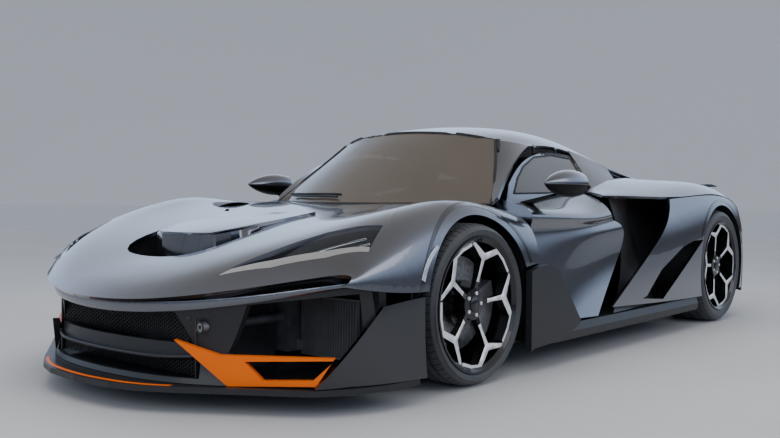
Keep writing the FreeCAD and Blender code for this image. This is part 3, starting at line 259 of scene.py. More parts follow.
# Finishes by name: material, fineness of the mottle, its dark and its light colour, fineness
# and strength of the grain where there is one, and the shader's plain values
MOTTLED = {
    "glass": ("smoked_glass", 1.2, (0.085, 0.07, 0.055), (0.105, 0.088, 0.07), None,
              dict(roughness=0.0, alpha=0.78, specular_ior_level=0.7)),
    "clear_lens": ("clear_lens", 3.0, (0.012, 0.014, 0.018), (0.03, 0.034, 0.042), None,
                   dict(roughness=0.0, alpha=0.3)),
    "tyre": ("tyre_rubber", 9.0, (0.024, 0.025, 0.028), (0.038, 0.04, 0.045), (420.0, 0.25),
             dict(roughness=0.5, sheen_weight=0.1)),
    # Painted shade: dark strips where the tread is cut across
    "cut": ("tread_shadow", 9.0, (0.004, 0.004, 0.004), (0.007, 0.007, 0.007), None,
            dict(roughness=0.9)),
    "rim": ("rim_black", 5.0, (0.012, 0.012, 0.013), (0.02, 0.02, 0.022), None,
            dict(metallic=0.7, roughness=0.25, coat_weight=0.5)),
    "bright": ("machined_metal", 40.0, (0.72, 0.72, 0.74), (0.86, 0.86, 0.88), None,
               dict(metallic=0.55, roughness=0.42)),
    "disc": ("brake_disc", 60.0, (0.16, 0.16, 0.17), (0.3, 0.3, 0.31), None,
             dict(metallic=0.9, roughness=0.36)),
    "alloy": ("cast_alloy", 12.0, (0.18, 0.18, 0.19), (0.3, 0.3, 0.31), (260.0, 0.3),
              dict(metallic=0.8, roughness=0.5)),
    "chrome": ("chrome", 6.0, (0.62, 0.63, 0.66), (0.72, 0.73, 0.76), None,
               dict(metallic=1.0, roughness=0.14)),
    "exhaust": ("exhaust_metal", 14.0, (0.2, 0.17, 0.15), (0.42, 0.38, 0.33), None,
                dict(metallic=1.0, roughness=0.34)),
    "engine": ("engine_casting", 10.0, (0.05, 0.05, 0.05), (0.1, 0.1, 0.1), (190.0, 0.4),
               dict(metallic=0.6, roughness=0.62)),
    "lamp": ("lamp_housing", 6.0, (0.008, 0.008, 0.01), (0.018, 0.018, 0.02), None,
             dict(roughness=0.3, specular_ior_level=0.25)),
    "led": ("lamp_light", 50.0, (0.7, 0.75, 0.8), (0.9, 0.93, 0.96), None,
            dict(roughness=0.3, emission_strength=1.1, emission_color=(0.8, 0.9, 1.0, 1))),
    "tail_lamp": ("tail_lens", 30.0, (0.22, 0.004, 0.004), (0.4, 0.01, 0.008), None,
                  dict(roughness=0.1, coat_weight=1.0, emission_strength=0.15,
                       emission_color=(0.8, 0.02, 0.01, 1))),
    "red_led": ("tail_light", 50.0, (0.5, 0.01, 0.01), (0.7, 0.02, 0.015), None,
                dict(roughness=0.3, emission_strength=1.4, emission_color=(1.0, 0.03, 0.01, 1))),
    "marker": ("marker_lens", 26.0, (0.35, 0.38, 0.45), (0.6, 0.64, 0.72), None,
               dict(roughness=0.08, coat_weight=1.0)),
    "mirror": ("mirror_glass", 4.0, (0.75, 0.77, 0.8), (0.82, 0.84, 0.86), None,
               dict(metallic=1.0, roughness=0.02)),
    # Painted shade: a darker copy of the body paint round each wheel arch's edge
    "edge": ("arch_lip_shade", 2.0, (0.022, 0.024, 0.03), (0.034, 0.036, 0.043), None,
             dict(metallic=0.6, roughness=0.24, coat_weight=1.0, coat_roughness=0.05)),
    "seal": ("window_seal", 14.0, (0.006, 0.006, 0.006), (0.011, 0.011, 0.011), (500.0, 0.2),
             dict(roughness=0.5)),
    "gloss": ("gloss_black", 5.0, (0.003, 0.003, 0.003), (0.006, 0.006, 0.006), None,
              dict(roughness=0.4, specular_ior_level=0.1)),
    "slat": ("louvre_grey", 9.0, (0.12, 0.12, 0.125), (0.17, 0.17, 0.175), None,
             dict(metallic=0.4, roughness=0.5)),
    "leather": ("seat_leather", 16.0, (0.03, 0.03, 0.032), (0.05, 0.05, 0.053), (700.0, 0.35),
                dict(roughness=0.55, sheen_weight=0.2)),
    "upholstery": ("suede", 22.0, (0.02, 0.02, 0.022), (0.04, 0.04, 0.043), (900.0, 0.3),
                   dict(roughness=0.9, sheen_weight=0.4)),
    "belt": ("belt_webbing", 80.0, (0.45, 0.13, 0.015), (0.7, 0.2, 0.02), (1500.0, 0.4),
             dict(roughness=0.8)),
}
FINISHES = {}

# CAD nodes whose finish isn't their slot's own: the corner blades get a darker copy of the body
# paint as painted shade
SHADED_PAINT_NODES = {"corner_blades": "shaded_paint"}


def make_finishes(colours):
    """Makes every finish of the car under its name."""
    FINISHES["paint"] = make_paint("body_paint", colours.body)
    # Painted shade: a darker copy of the body paint for the corner blades
    FINISHES["shaded_paint"] = make_paint("shaded_body_paint", shade(colours.body, 0.28))
    FINISHES["carbon"] = make_weave(colours.fibre)
    coloured = {
        "accent": ("accent_paint", 3.0, shade(colours.accent, 0.92), colours.accent, None,
                   dict(roughness=0.4, specular_ior_level=0.2)),
        "trim": ("black_trim", 8.0, colours.trim, shade(colours.trim, 1.8), (600.0, 0.15),
                 dict(roughness=0.4)),
    }
    for finish, (name, scale, dark, light, bumps, sockets) in {**coloured, **MOTTLED}.items():
        material = new_material(name, **sockets)
        mottle(material, scale, dark, light)
        if bumps:
            grain(material, *bumps)
        FINISHES[finish] = material


class SUPERCAR_OT_finishes(bpy.types.Operator):
    """Gives every CAD node the finish of its slot"""

    bl_idname = "supercar.finishes"
    bl_label = "Finishes"

    def execute(self, context):
        make_finishes(context.scene.supercar_paint)
        for entry in frame["record"]["subparts"]:
            finish = SHADED_PAINT_NODES.get(entry["node"], entry["material_slot"])
            paint_over(frame["nodes"][entry["node"]], finish)
        return {"FINISHED"}


# Modelling helpers


def paint_over(piece, finish):
    """Gives a piece one finish all over."""
    piece.data.materials.clear()
    piece.data.materials.append(FINISHES[finish])


def clear_selection():
    """Object mode with nothing selected."""
    if bpy.context.object and bpy.context.object.mode != "OBJECT":
        bpy.ops.object.mode_set(mode="OBJECT")
    bpy.ops.object.select_all(action="DESELECT")


def activate(piece):
    """Selects one piece alone."""
    clear_selection()
    piece.select_set(True)
    bpy.context.view_layer.objects.active = piece


def dress(piece, name, body, slot, finish=None, smooth=None):
    """Names a finished piece, gives it its finish and lets it ride on its body."""
    piece.name = name
    piece.data.name = name
    if smooth is not None:
        bpy.ops.object.shade_smooth_by_angle(angle=math.radians(smooth))
    paint_over(piece, finish or slot)
    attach(piece, body)


def place_in_mesh(piece):
    """Moves the object's place into its mesh."""
    activate(piece)
    bpy.ops.object.transform_apply(location=True, rotation=True, scale=True)


def recalculate(piece):
    """Merges doubles and turns all faces outwards."""
    bpy.context.view_layer.objects.active = piece
    bpy.ops.object.mode_set(mode="EDIT")
    bpy.ops.mesh.select_all(action="SELECT")
    bpy.ops.mesh.remove_doubles(threshold=0.00002)
    bpy.ops.mesh.normals_make_consistent(inside=False)
    bpy.ops.object.mode_set(mode="OBJECT")


def modify(piece, kind, **settings):
    """Adds a modifier and applies it."""
    bpy.context.view_layer.objects.active = piece
    modifier = piece.modifiers.new(kind.lower(), kind)
    for key, value in settings.items():
        setattr(modifier, key, value)
    bpy.ops.object.modifier_apply(modifier=modifier.name)


def joined(pieces):
    """One object of several."""
    clear_selection()
    for piece in pieces:
        piece.select_set(True)
    bpy.context.view_layer.objects.active = pieces[0]
    if len(pieces) > 1:
        bpy.ops.object.join()
    return bpy.context.object


def copied(piece, turn):
    """Copy of a piece with its own mesh, moved by a matrix."""
    activate(piece)
    bpy.ops.object.duplicate()
    copy = bpy.context.object
    copy.data.transform(turn)
    if turn.determinant() < 0:
        recalculate(copy)
    return copy


def both_sides(piece):
    """The piece joined with its mirror image on the car's other side."""
    return joined([piece, copied(piece, Matrix.Scale(-1, 4, (1, 0, 0)))])


def side_outline(x, outline):
    """Points of an outline seen from the side, (y from the front axle, z), at one x."""
    return [(x, FRONT_AXLE + y, z) for y, z in outline]


def plate(points, reach):
    """Flat outline of points, extruded by a vector."""
    clear_selection()
    bpy.ops.mesh.primitive_circle_add(vertices=len(points), fill_type="NGON")
    piece = bpy.context.object
    for vertex, point in zip(piece.data.vertices, points):
        vertex.co = Vector(point)
    bpy.ops.object.mode_set(mode="EDIT")
    bpy.ops.mesh.select_all(action="SELECT")
    bpy.ops.mesh.extrude_region_move(TRANSFORM_OT_translate={"value": reach})
    bpy.ops.object.mode_set(mode="OBJECT")
    recalculate(piece)
    return piece


def bands(strips):
    """Open sheet of one or more strips, each a row of point pairs across it."""
    clear_selection()
    bpy.ops.mesh.primitive_plane_add(size=1)
    piece = bpy.context.object
    sheet = bmesh.new()
    for pairs in strips:
        across = [[sheet.verts.new(point) for point in pair] for pair in pairs]
        for (a, b), (c, d) in zip(across, across[1:]):
            sheet.faces.new((a, b, d, c))
    sheet.to_mesh(piece.data)
    sheet.free()
    return piece


def smooth_path(points, steps=10):
    """Points along a rounded line through the given points, a few to each run."""
    spots = [Vector(point) for point in points]
    line = []
    for index in range(len(spots) - 1):
        a = spots[max(index - 1, 0)]
        b, c = spots[index], spots[index + 1]
        d = spots[min(index + 2, len(spots) - 1)]
        for step in range(steps):  # cubic from b to c, with the ends' slopes from a and d
            t = step / steps
            line.append(0.5 * ((2 * b) + (c - a) * t + (2 * a - 5 * b + 4 * c - d) * t * t
                               + (3 * b - a - 3 * c + d) * t * t * t))
    line.append(spots[-1])
    return line


def ribbon(points, lean, width, thickness):
    """Flat strip along a smooth path, widened to one side along a vector, with a round edge."""
    reach = Vector(lean).normalized() * width
    piece = bands([[(point + reach, point) for point in smooth_path(points)]])
    recalculate(piece)
    modify(piece, "SOLIDIFY", thickness=thickness, offset=0.0)
    modify(piece, "BEVEL", width=thickness * 0.3, segments=2, limit_method="ANGLE")
    return piece


def tube(points, radius):
    """Round bar along a smooth path."""
    clear_selection()
    bpy.ops.curve.primitive_nurbs_path_add()
    curve = bpy.context.object.data
    curve.splines.clear()
    spline = curve.splines.new("NURBS")
    spline.points.add(len(points) - 1)
    for target, point in zip(spline.points, points):
        target.co = (*point, 1.0)
    spline.order_u = 3
    spline.use_endpoint_u = True
    spline.resolution_u = 4
    curve.dimensions = "3D"
    curve.bevel_depth = radius
    curve.bevel_resolution = 1
    curve.use_fill_caps = True
    bpy.ops.object.convert(target="MESH")
    piece = bpy.context.object
    place_in_mesh(piece)
    recalculate(piece)
    return piece


def spun(profile, centre, steps, closed=True):
    """Profile of (along, radius) points spun round the X direction through a centre."""
    clear_selection()
    bpy.ops.mesh.primitive_circle_add(vertices=len(profile), fill_type="NOTHING")
    piece = bpy.context.object
    for vertex, (along, radius) in zip(piece.data.vertices, profile):
        vertex.co = centre + Vector((along, 0, radius))
    bpy.ops.object.mode_set(mode="EDIT")
    if not closed:
        bpy.ops.mesh.select_all(action="DESELECT")
        bpy.ops.object.mode_set(mode="OBJECT")
        piece.data.edges[-1].select = True
        bpy.ops.object.mode_set(mode="EDIT")
        bpy.ops.mesh.delete(type="EDGE_FACE")
    bpy.ops.mesh.select_all(action="SELECT")
    bpy.ops.mesh.spin(steps=steps, angle=2 * math.pi, center=centre, axis=(1, 0, 0))
    bpy.ops.object.mode_set(mode="OBJECT")
    recalculate(piece)
    return piece


def turned_to(axis):
    """Turn that leads from the upright to an axis."""
    return Vector(axis).to_track_quat("Z", "Y").to_euler()


def ring(centre, turn, radius, thickness, around=40, across=8):
    """Thin round ring, its axis turned from the upright."""
    clear_selection()
    bpy.ops.mesh.primitive_torus_add(
        major_radius=radius, minor_radius=thickness, major_segments=around,
        minor_segments=across, location=centre, rotation=turn)
    piece = bpy.context.object
    place_in_mesh(piece)
    return piece


def button(centre, turn, sides, radius, depth, edge, segments=2):
    """Short round or six-sided button with bevelled edges."""
    clear_selection()
    bpy.ops.mesh.primitive_cylinder_add(
        vertices=sides, radius=radius, depth=depth, location=centre, rotation=turn)
    piece = bpy.context.object
    place_in_mesh(piece)
    modify(piece, "BEVEL", width=edge, segments=segments, limit_method="ANGLE")
    return piece


def drop_faces(piece, test):
    """Deletes the faces that pass a test of centre and normal, and stays in edit mode."""
    bpy.context.tool_settings.mesh_select_mode = (False, False, True)
    for polygon in piece.data.polygons:
        polygon.select = test(polygon.center, polygon.normal)
    bpy.ops.object.mode_set(mode="EDIT")
    bpy.ops.mesh.delete(type="FACE")


def faces_of(node, test, merge):
    """Copy of the faces of a CAD node that pass a test, merged and in edit mode."""
    piece = bpy.data.objects.new(node + "_faces", frame["nodes"][node].data.copy())
    bpy.context.scene.collection.objects.link(piece)
    activate(piece)
    drop_faces(piece, lambda place, normal: not test(place, normal))
    bpy.ops.mesh.select_all(action="SELECT")
    bpy.ops.mesh.remove_doubles(threshold=merge)
    return piece


def facing(node, test, thickness=None, lift=None):
    """Skin over the faces of a CAD node that pass a test of centre and normal."""
    piece = faces_of(node, test, 0.00005)
    if lift:
        bpy.ops.transform.shrink_fatten(value=lift)
    bpy.ops.object.mode_set(mode="OBJECT")
    if thickness:
        modify(piece, "SOLIDIFY", thickness=thickness, offset=1.0)
    return piece


def rim_tube(node, test, radius):
    """Thin round strip along the border of the faces that pass a test."""
    piece = faces_of(node, test, 0.0002)
    bpy.ops.mesh.region_to_loop()
    bpy.ops.mesh.separate(type="SELECTED")
    bpy.ops.object.mode_set(mode="OBJECT")
    strip = [other for other in bpy.context.selected_objects if other is not piece][0]
    bpy.data.objects.remove(piece)
    activate(strip)
    bpy.ops.object.convert(target="CURVE")
    strip = bpy.context.object
    strip.data.bevel_depth = radius
    strip.data.bevel_resolution = 1
    bpy.ops.object.convert(target="MESH")
    strip = bpy.context.object
    recalculate(strip)
    return strip


def tree_of(node):
    """Search tree over the faces of a CAD node."""
    mesh = frame["nodes"][node].data
    corners = [vertex.co.copy() for vertex in mesh.vertices]
    return BVHTree.FromPolygons(corners, [list(face.vertices) for face in mesh.polygons])


def landed(tree, points, way, lift):
    """Points moved one way until they meet a CAD surface, then lifted off it."""
    found = []
    for point in points:
        place = tree.ray_cast(Vector(point), way)[0]
        if place is None:
            raise RuntimeError("No surface under %s" % (point,))
        found.append(place - way * lift)
    return found


def hexagon_mesh(centre, width, height, cell, bar, depth):
    """Honeycomb sheet across the car, round a centre, modelled from one cell."""
    clear_selection()
    bpy.ops.mesh.primitive_circle_add(
        vertices=6, radius=cell, fill_type="NGON", rotation=(math.pi / 2, 0, 0))
    piece = bpy.context.object
    place_in_mesh(piece)
    bpy.ops.object.mode_set(mode="EDIT")
    bpy.ops.mesh.select_all(action="SELECT")
    bpy.ops.mesh.inset(thickness=bar)
    bpy.ops.mesh.delete(type="FACE")
    bpy.ops.object.mode_set(mode="OBJECT")
    step_x = 1.5 * cell
    step_z = math.sqrt(3) * cell
    twin = copied(piece, Matrix.Translation((step_x, 0, step_z / 2)))
    piece = joined([piece, twin])
    columns = max(1, int(width / (2 * step_x)))
    rows = max(1, int(height / step_z))
    for count, offset in ((columns, (2 * step_x, 0, 0)), (rows, (0, 0, step_z))):
        modify(piece, "ARRAY", count=count, use_relative_offset=False,
               use_constant_offset=True, constant_offset_displace=offset)
    modify(piece, "SOLIDIFY", thickness=depth, offset=0.0)
    half = Vector(((columns - 0.5) * step_x, 0, (rows - 0.5) * step_z / 2))
    piece.data.transform(Matrix.Translation(Vector(centre) - half))
    return piece


# Tyres and wheels

Wheel = namedtuple("Wheel", "centre side radius width rim")
WHEELS = {
    "front_left": Wheel(Vector((0.8525, FRONT_AXLE, FRONT_TYRE)), 1, FRONT_TYRE, 0.265, 0.281),
    "front_right": Wheel(Vector((-0.8525, FRONT_AXLE, FRONT_TYRE)), -1, FRONT_TYRE, 0.265, 0.281),
    "rear_left": Wheel(Vector((0.8325, REAR_AXLE, REAR_TYRE)), 1, REAR_TYRE, 0.335, 0.283),
    "rear_right": Wheel(Vector((-0.8325, REAR_AXLE, REAR_TYRE)), -1, REAR_TYRE, 0.335, 0.283),
}
CROWN_DROP = 0.0026  # how much lower the tread lies at its edge than in its middle
TO_SIDE = (0, math.pi / 2, 0)  # turns a ring or button to face the car's side


def tyre_profile(tyre, depth):
    """Cross section of a tyre from bead to bead: bulged walls, shoulders and four grooves."""
    half = tyre.width / 2
    wall = [
        (half - 0.014, tyre.rim - 0.004),  # bead
        (half - 0.006, tyre.rim + 0.012),
        (half - 0.001, (tyre.rim + tyre.radius) / 2),  # widest point
        (half - 0.006, tyre.radius - 0.024),
        (half - 0.016, tyre.radius - 0.012),  # shoulder
        (half - 0.038, tyre.radius - CROWN_DROP),
    ]
    crown = []
    for place in (0.56, 0.2):  # where the grooves lie, as a share of half the width
        x = place * half
        top = tyre.radius - CROWN_DROP * place ** 2
        crown += [(x + 0.006, top), (x + 0.0045, top - depth), (x - 0.0045, top - depth),
                  (x - 0.006, top)]
    half_profile = wall + crown
    return half_profile + [(-x, height) for x, height in reversed(half_profile)]


def wall_at(tyre, height):
    """How far out a tyre's wall stands at a height above the axle."""
    wall = tyre_profile(tyre, 0.0)[:6]
    for (x0, r0), (x1, r1) in zip(wall, wall[1:]):
        if r0 <= height <= r1:
            return x0 + (x1 - x0) * (height - r0) / (r1 - r0)
    raise RuntimeError("No wall at %.3f" % height)


def tread_cut_shade(tyre, count):
    """Thin dark strips of painted shade where each half of the tread is cut across."""
    half = tyre.width / 2
    rows = (  # across, above the axle, along the tread
        (half - 0.066, tyre.radius - 0.0022, -0.0030),
        (half - 0.038, tyre.radius - CROWN_DROP, 0.0006),
        (half - 0.016, tyre.radius - 0.012, 0.0034),
    )
    cut_width = 0.003
    cuts = []
    for edge in (-1, 1):
        for index in range(count):
            turn = Matrix.Rotation(2 * math.pi * (index + 0.25 * edge) / count, 4, "X")
            cuts.append([[tyre.centre + turn @ Vector((edge * x, shift + wide, height))
                          for wide in (0.0, cut_width)] for x, height, shift in rows])
    piece = bands(cuts)
    modify(piece, "SOLIDIFY", thickness=0.0016, offset=0.0)
    return piece


def wall_ribs(tyre):
    """Raised rings round both walls of a tyre."""
    rings = []
    for edge in (-1, 1):
        for share in (0.30, 0.42, 0.80):  # of the way from the rim to the tread
            height = tyre.rim + (tyre.radius - tyre.rim) * share
            out = Vector((edge * (wall_at(tyre, height) - 0.0004), 0, 0))
            rings.append(ring(tyre.centre + out, TO_SIDE, radius=height, thickness=0.0012,
                              around=96, across=6))
    return joined(rings)


class SUPERCAR_OT_tyres(bpy.types.Operator):
    """Models each tyre with bulged walls, ribs, grooves and painted shade in its cross cuts"""

    bl_idname = "supercar.tyres"
    bl_label = "Tyres"

    def execute(self, context):
        settings = context.scene.supercar_wheels
        for name, tyre in WHEELS.items():
            body = "wheel_" + name
            profile = tyre_profile(tyre, settings.groove_depth)
            rubber = spun(profile, tyre.centre, steps=128)
            dress(rubber, "tyre_%s_rubber" % name, body, "tyre")
            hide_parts("tyre_" + name)
            # Dark strips of painted shade in the tread's cross cuts
            dress(tread_cut_shade(tyre, settings.tread_blocks), "tyre_%s_cuts" % name, body, "tyre",
                  "cut", smooth=38)
            dress(wall_ribs(tyre), "tyre_%s_ribs" % name, body, "tyre", smooth=50)
        return {"FINISHED"}


def blunt_ends(skin, centre, reach):
    """Cuts the spoke faces off cleanly at a distance from the hub."""
    sectors = 40

    def from_hub(face):
        way = face.calc_center_median() - centre
        return Vector((0, way.y, way.z))

    sheet = bmesh.new()
    sheet.from_mesh(skin.data)
    for step in range(sectors):
        angle = 2 * math.pi * step / sectors
        way = Vector((0, math.cos(angle), math.sin(angle)))
        near = [face for face in sheet.faces
                if from_hub(face).angle(way) <= 1.02 * math.pi / sectors]
        edges = {edge for face in near for edge in face.edges}
        corners = {corner for face in near for corner in face.verts}
        if near:
            bmesh.ops.bisect_plane(sheet, geom=near + list(edges) + list(corners),
                                   plane_co=centre + way * reach, plane_no=way)
    inside = [face for face in sheet.faces if from_hub(face).length < reach]
    bmesh.ops.delete(sheet, geom=inside, context="FACES")
    sheet.to_mesh(skin.data)
    sheet.free()


def spoke_faces(name, wheel, face):
    """Machined skin over the outer faces of the spokes, which dish towards the hub."""
    dish_depth, dish_start, dish_width = 0.022, 0.236, 0.170
    slack = 0.014  # how far behind the dish a face still counts as a spoke's

    def on_face(place, normal):
        out = (place.x - wheel.centre.x) * wheel.side
        reach = math.hypot(place.y - wheel.centre.y, place.z - wheel.centre.z)
        dish = face - dish_depth * max(0.0, (dish_start - reach) / dish_width) - slack
        return normal.x * wheel.side > 0.85 and out > dish and 0.072 < reach < wheel.rim - 0.016

    skin = facing(name, on_face)
    blunt_ends(skin, wheel.centre, 0.094)
    modify(skin, "SOLIDIFY", thickness=0.0006, offset=1.0)
    return skin


class SUPERCAR_OT_wheels(bpy.types.Operator):
    """Adds machined spoke faces, bright discs, bolts and a plain hub cap"""

    bl_idname = "supercar.wheels"
    bl_label = "Wheels"

    def execute(self, context):
        bolt_count, bolt_circle, first_bolt = 5, 0.047, 0.3
        disc_inside, disc_outside = 0.105, 0.2
        cap_profile = (  # behind the rim's face, radius
            (0.026, 0.0), (0.012, 0.0), (0.0125, 0.024), (0.016, 0.030), (0.026, 0.031))
        for name, wheel in WHEELS.items():
            body = "wheel_" + name
            face = wheel.width / 2 - 0.017  # how far the rim's face is out from its middle
            dress(spoke_faces(body, wheel, face), body + "_faces", body, "alloy", "bright")

            def on_disc(place, normal):
                out = (place.x - wheel.centre.x) * wheel.side
                reach = math.hypot(place.y - wheel.centre.y, place.z - wheel.centre.z)
                return abs(normal.x) > 0.9 and disc_inside < reach < disc_outside and out < 0.02

            dress(facing(body, on_disc, 0.0005), body + "_disc", body, "alloy", "disc")

            bolts = []
            for index in range(bolt_count):
                angle = 2 * math.pi * index / bolt_count + first_bolt
                spot = wheel.centre + Vector((wheel.side * (face - 0.021),
                                              bolt_circle * math.sin(angle),
                                              bolt_circle * math.cos(angle)))
                bolts.append(button(spot, TO_SIDE, sides=6, radius=0.0085, depth=0.012,
                                    edge=0.0012))
            dress(joined(bolts), body + "_bolts", body, "alloy", "bright", smooth=30)

            cap = spun([(wheel.side * (face - depth), radius) for depth, radius in cap_profile],
                       wheel.centre, steps=40, closed=False)
            dress(cap, body + "_cap", body, "rim", smooth=40)
        return {"FINISHED"}


# Body trim


def arch_shade_band(tree, axle, height, radius, width):
    """Thin band of painted shade on the body's surface round a wheel arch of the left side."""
    off_surface = Vector((0.0008, 0, 0))
    panel_inside = 0.8  # what a ray meets further in isn't the panel
    runs = [[]]
    for degrees in range(-24, 212, 2):
        angle = math.radians(degrees)
        found = []
        for reach in (radius, radius + width):
            spot = Vector((LEFT_OF_CAR, axle + reach * math.cos(angle),
                           height + reach * math.sin(angle)))
            found.append(tree.ray_cast(spot, TO_RIGHT)[0])
        if all(place is not None and place.x > panel_inside for place in found):
            runs[-1].append([place + off_surface for place in found])
        else:
            runs.append([])
    piece = bands([max(runs, key=len)])
    modify(piece, "SOLIDIFY", thickness=0.0016, offset=0.0)
    recalculate(piece)
    return piece


class SUPERCAR_OT_arch_edges(bpy.types.Operator):
    """Adds the band of painted shade round each wheel arch's edge"""

    bl_idname = "supercar.arch_edges"
    bl_label = "Arch edges"

    def execute(self, context):
        width = context.scene.supercar_trim.arch_lip_shade
        for node, axle, height, radius in (("fenders", FRONT_AXLE, FRONT_TYRE, 0.4035),
                                           ("quarters", REAR_AXLE, REAR_TYRE, 0.4085)):
            # Each band is painted shade, a darker copy of the body paint
            band = arch_shade_band(tree_of(node), axle, height, radius, width)
            dress(both_sides(band), node + "_arch_lip_shade", "root", "trim", "edge", smooth=35)
        return {"FINISHED"}


class SUPERCAR_OT_seals(bpy.types.Operator):
    """Adds the seals of the glass, of the roof's edge and of the doors' ears"""

    bl_idname = "supercar.seals"
    bl_label = "Seals"

    def execute(self, context):
        trim = context.scene.supercar_trim

        def on_screen(place, normal):
            return place.y < -0.2 and normal.z > 0.2

        def on_rear_window(place, normal):
            return place.y > 0.4 and normal.z > 0.5 and abs(place.x) < 0.42

        for name, test in (("windscreen", on_screen), ("rear_window", on_rear_window)):
            seal = rim_tube("fixed_glass", test, trim.glass_seal)
            dress(seal, name + "_seal", "root", "trim", "seal", smooth=60)
        for side, label in SIDES:
            seal = rim_tube("door_glass_" + label, lambda place, normal: normal.x * side > 0.3,
                            trim.door_seal)
            dress(seal, "door_window_seal_" + label, "door_" + label, "trim", "seal", smooth=60)

        def over_door(place, normal):
            return (0.55 < abs(place.x) < 0.69 and -0.36 < place.y < 0.42
                    and 0.93 < place.z < 1.06 and normal.z < 0.25
                    and normal.x * place.x > -0.2 * abs(place.x))

        dress(facing("roof", over_door, 0.0005), "roof_edge_seal", "root", "trim", "seal")

        pin_x, pin_z, bore = 0.604, 1.038, 0.009

        def on_ear(place, normal):
            return (place.z > 1.0 and abs(place.x) < 0.64
                    and math.hypot(abs(place.x) - pin_x, place.z - pin_z) > bore)

        for _, label in SIDES:
            door = "door_" + label
            dress(facing(door, on_ear, 0.0004), "door_ears_" + label, door, "trim", "seal")
        return {"FINISHED"}


class SUPERCAR_OT_side_walls(bpy.types.Operator):
    """Adds the black wall inside the opening behind each door, as painted shade deep in the opening
    """

    bl_idname = "supercar.side_walls"
    bl_label = "Side walls"

    def execute(self, context):
        outline = (  # y, z
            (0.36, 0.20), (1.19, 0.20), (1.22, 0.60), (1.30, 0.72), (1.28, 0.82), (0.30, 0.80),
            (0.30, 0.50))
        # Black plates of painted shade deep inside each opening
        walls = [plate([(side * 0.735, y, z) for y, z in outline], (side * 0.004, 0, 0))
                 for side in (-1, 1)]
        dress(joined(walls), "side_duct_shade_walls", "root", "trim")
        return {"FINISHED"}


class SUPERCAR_OT_side_markers(bpy.types.Operator):
    """Adds the curved marker lens in front of each front arch"""

    bl_idname = "supercar.side_markers"
    bl_label = "Side markers"

    def execute(self, context):
        spots = side_outline(LEFT_OF_CAR, (
            (-0.385, 0.455), (-0.362, 0.500), (-0.325, 0.544), (-0.276, 0.580)))
        line = landed(tree_of("fenders"), spots, TO_RIGHT, lift=0.0015)
        marker = ribbon(line, lean=(0, -0.6, 0.28), width=0.022, thickness=0.0016)
        dress(both_sides(marker), "side_markers", "root", "lamp", "marker", smooth=40)
        return {"FINISHED"}


def screen_foot(tree, x):
    """Where the windscreen starts at one x, found with rays from above."""
    for step in range(200):
        y = -1.2 + 0.005 * step
        if tree.ray_cast(Vector((x, y, ABOVE_CAR)), DOWN)[0] is not None:
            return y
    raise RuntimeError("No windscreen at %.2f" % x)


class SUPERCAR_OT_wiper(bpy.types.Operator):
    """Adds the wiper's arm and blade at the windscreen's foot"""

    bl_idname = "supercar.wiper"
    bl_label = "Wiper"

    def execute(self, context):
        tree = tree_of("fixed_glass")
        foot = [(x, screen_foot(tree, x)) for x in (-0.02, -0.16, -0.30, -0.44, -0.56)]
        arm = landed(tree, [(x, y + 0.022, ABOVE_CAR) for x, y in foot[:4]], DOWN, lift=0.016)
        blade = landed(tree, [(x, y + 0.05, ABOVE_CAR) for x, y in foot], DOWN, lift=0.007)
        wiper = joined([tube(arm, radius=0.006), tube(blade, radius=0.0045)])
        dress(wiper, "wiper", "root", "trim", "seal", smooth=60)
        return {"FINISHED"}


class SUPERCAR_OT_sensors(bpy.types.Operator):
    """Adds the round parking sensors of the fascia"""

    bl_idname = "supercar.sensors"
    bl_label = "Parking sensors"

    def execute(self, context):
        fascia = tree_of("fascia")
        sensors = []
        for x in (0.43, -0.43):
            place, normal = fascia.ray_cast(Vector((x, BEFORE_CAR, 0.332)), TO_TAIL)[:2]
            if place is None:
                raise RuntimeError("No fascia at %.2f" % x)
            sensors.append(button(place, turned_to(normal), sides=24, radius=0.0095,
                                  depth=0.006, edge=0.0016))
        dress(joined(sensors), "parking_sensors", "root", "trim", smooth=40)
        return {"FINISHED"}


# Front


class SUPERCAR_OT_intake_meshes(bpy.types.Operator):
    """Adds the honeycomb mesh of the centre and the lower intake"""

    bl_idname = "supercar.intake_meshes"
    bl_label = "Intake meshes"

    def execute(self, context):
        for name, width, height, y, z in (("centre", 0.86, 0.12, -1.03, 0.297),
                                          ("lower", 0.88, 0.07, -1.02, 0.152)):
            mesh = hexagon_mesh((0, FRONT_AXLE + y, z), width, height, cell=0.0085, bar=0.0017,
                                depth=0.003)
            dress(mesh, name + "_intake_mesh", "root", "trim")
        return {"FINISHED"}


class SUPERCAR_OT_front_strips(bpy.types.Operator):
    """Adds the wing bar across the intake and the bright strip of the splitter"""

    bl_idname = "supercar.front_strips"
    bl_label = "Front strips"

    def execute(self, context):
        bar = [(x, FRONT_AXLE + y, z) for x, y, z in (
            (-0.47, -0.985, 0.186), (-0.30, -1.05, 0.176), (0.0, -1.072, 0.174),
            (0.30, -1.05, 0.176), (0.47, -0.985, 0.186))]
        wing = ribbon(bar, lean=(0, -0.45, 0.12), width=0.05, thickness=0.012)
        dress(wing, "intake_wing_bar", "root", "carbon", smooth=40)
        strip = [(x, FRONT_AXLE + y, 0.0985) for x, y in (
            (0.42, -1.118), (0.33, -1.166), (0.20, -1.204), (0.0, -1.222), (-0.20, -1.204),
            (-0.33, -1.166), (-0.42, -1.118))]
        edge = ribbon(strip, lean=(0, 0.02, 0.0002), width=0.016, thickness=0.0022)
        dress(edge, "splitter_strip", "root", "accent", smooth=40)
        return {"FINISHED"}


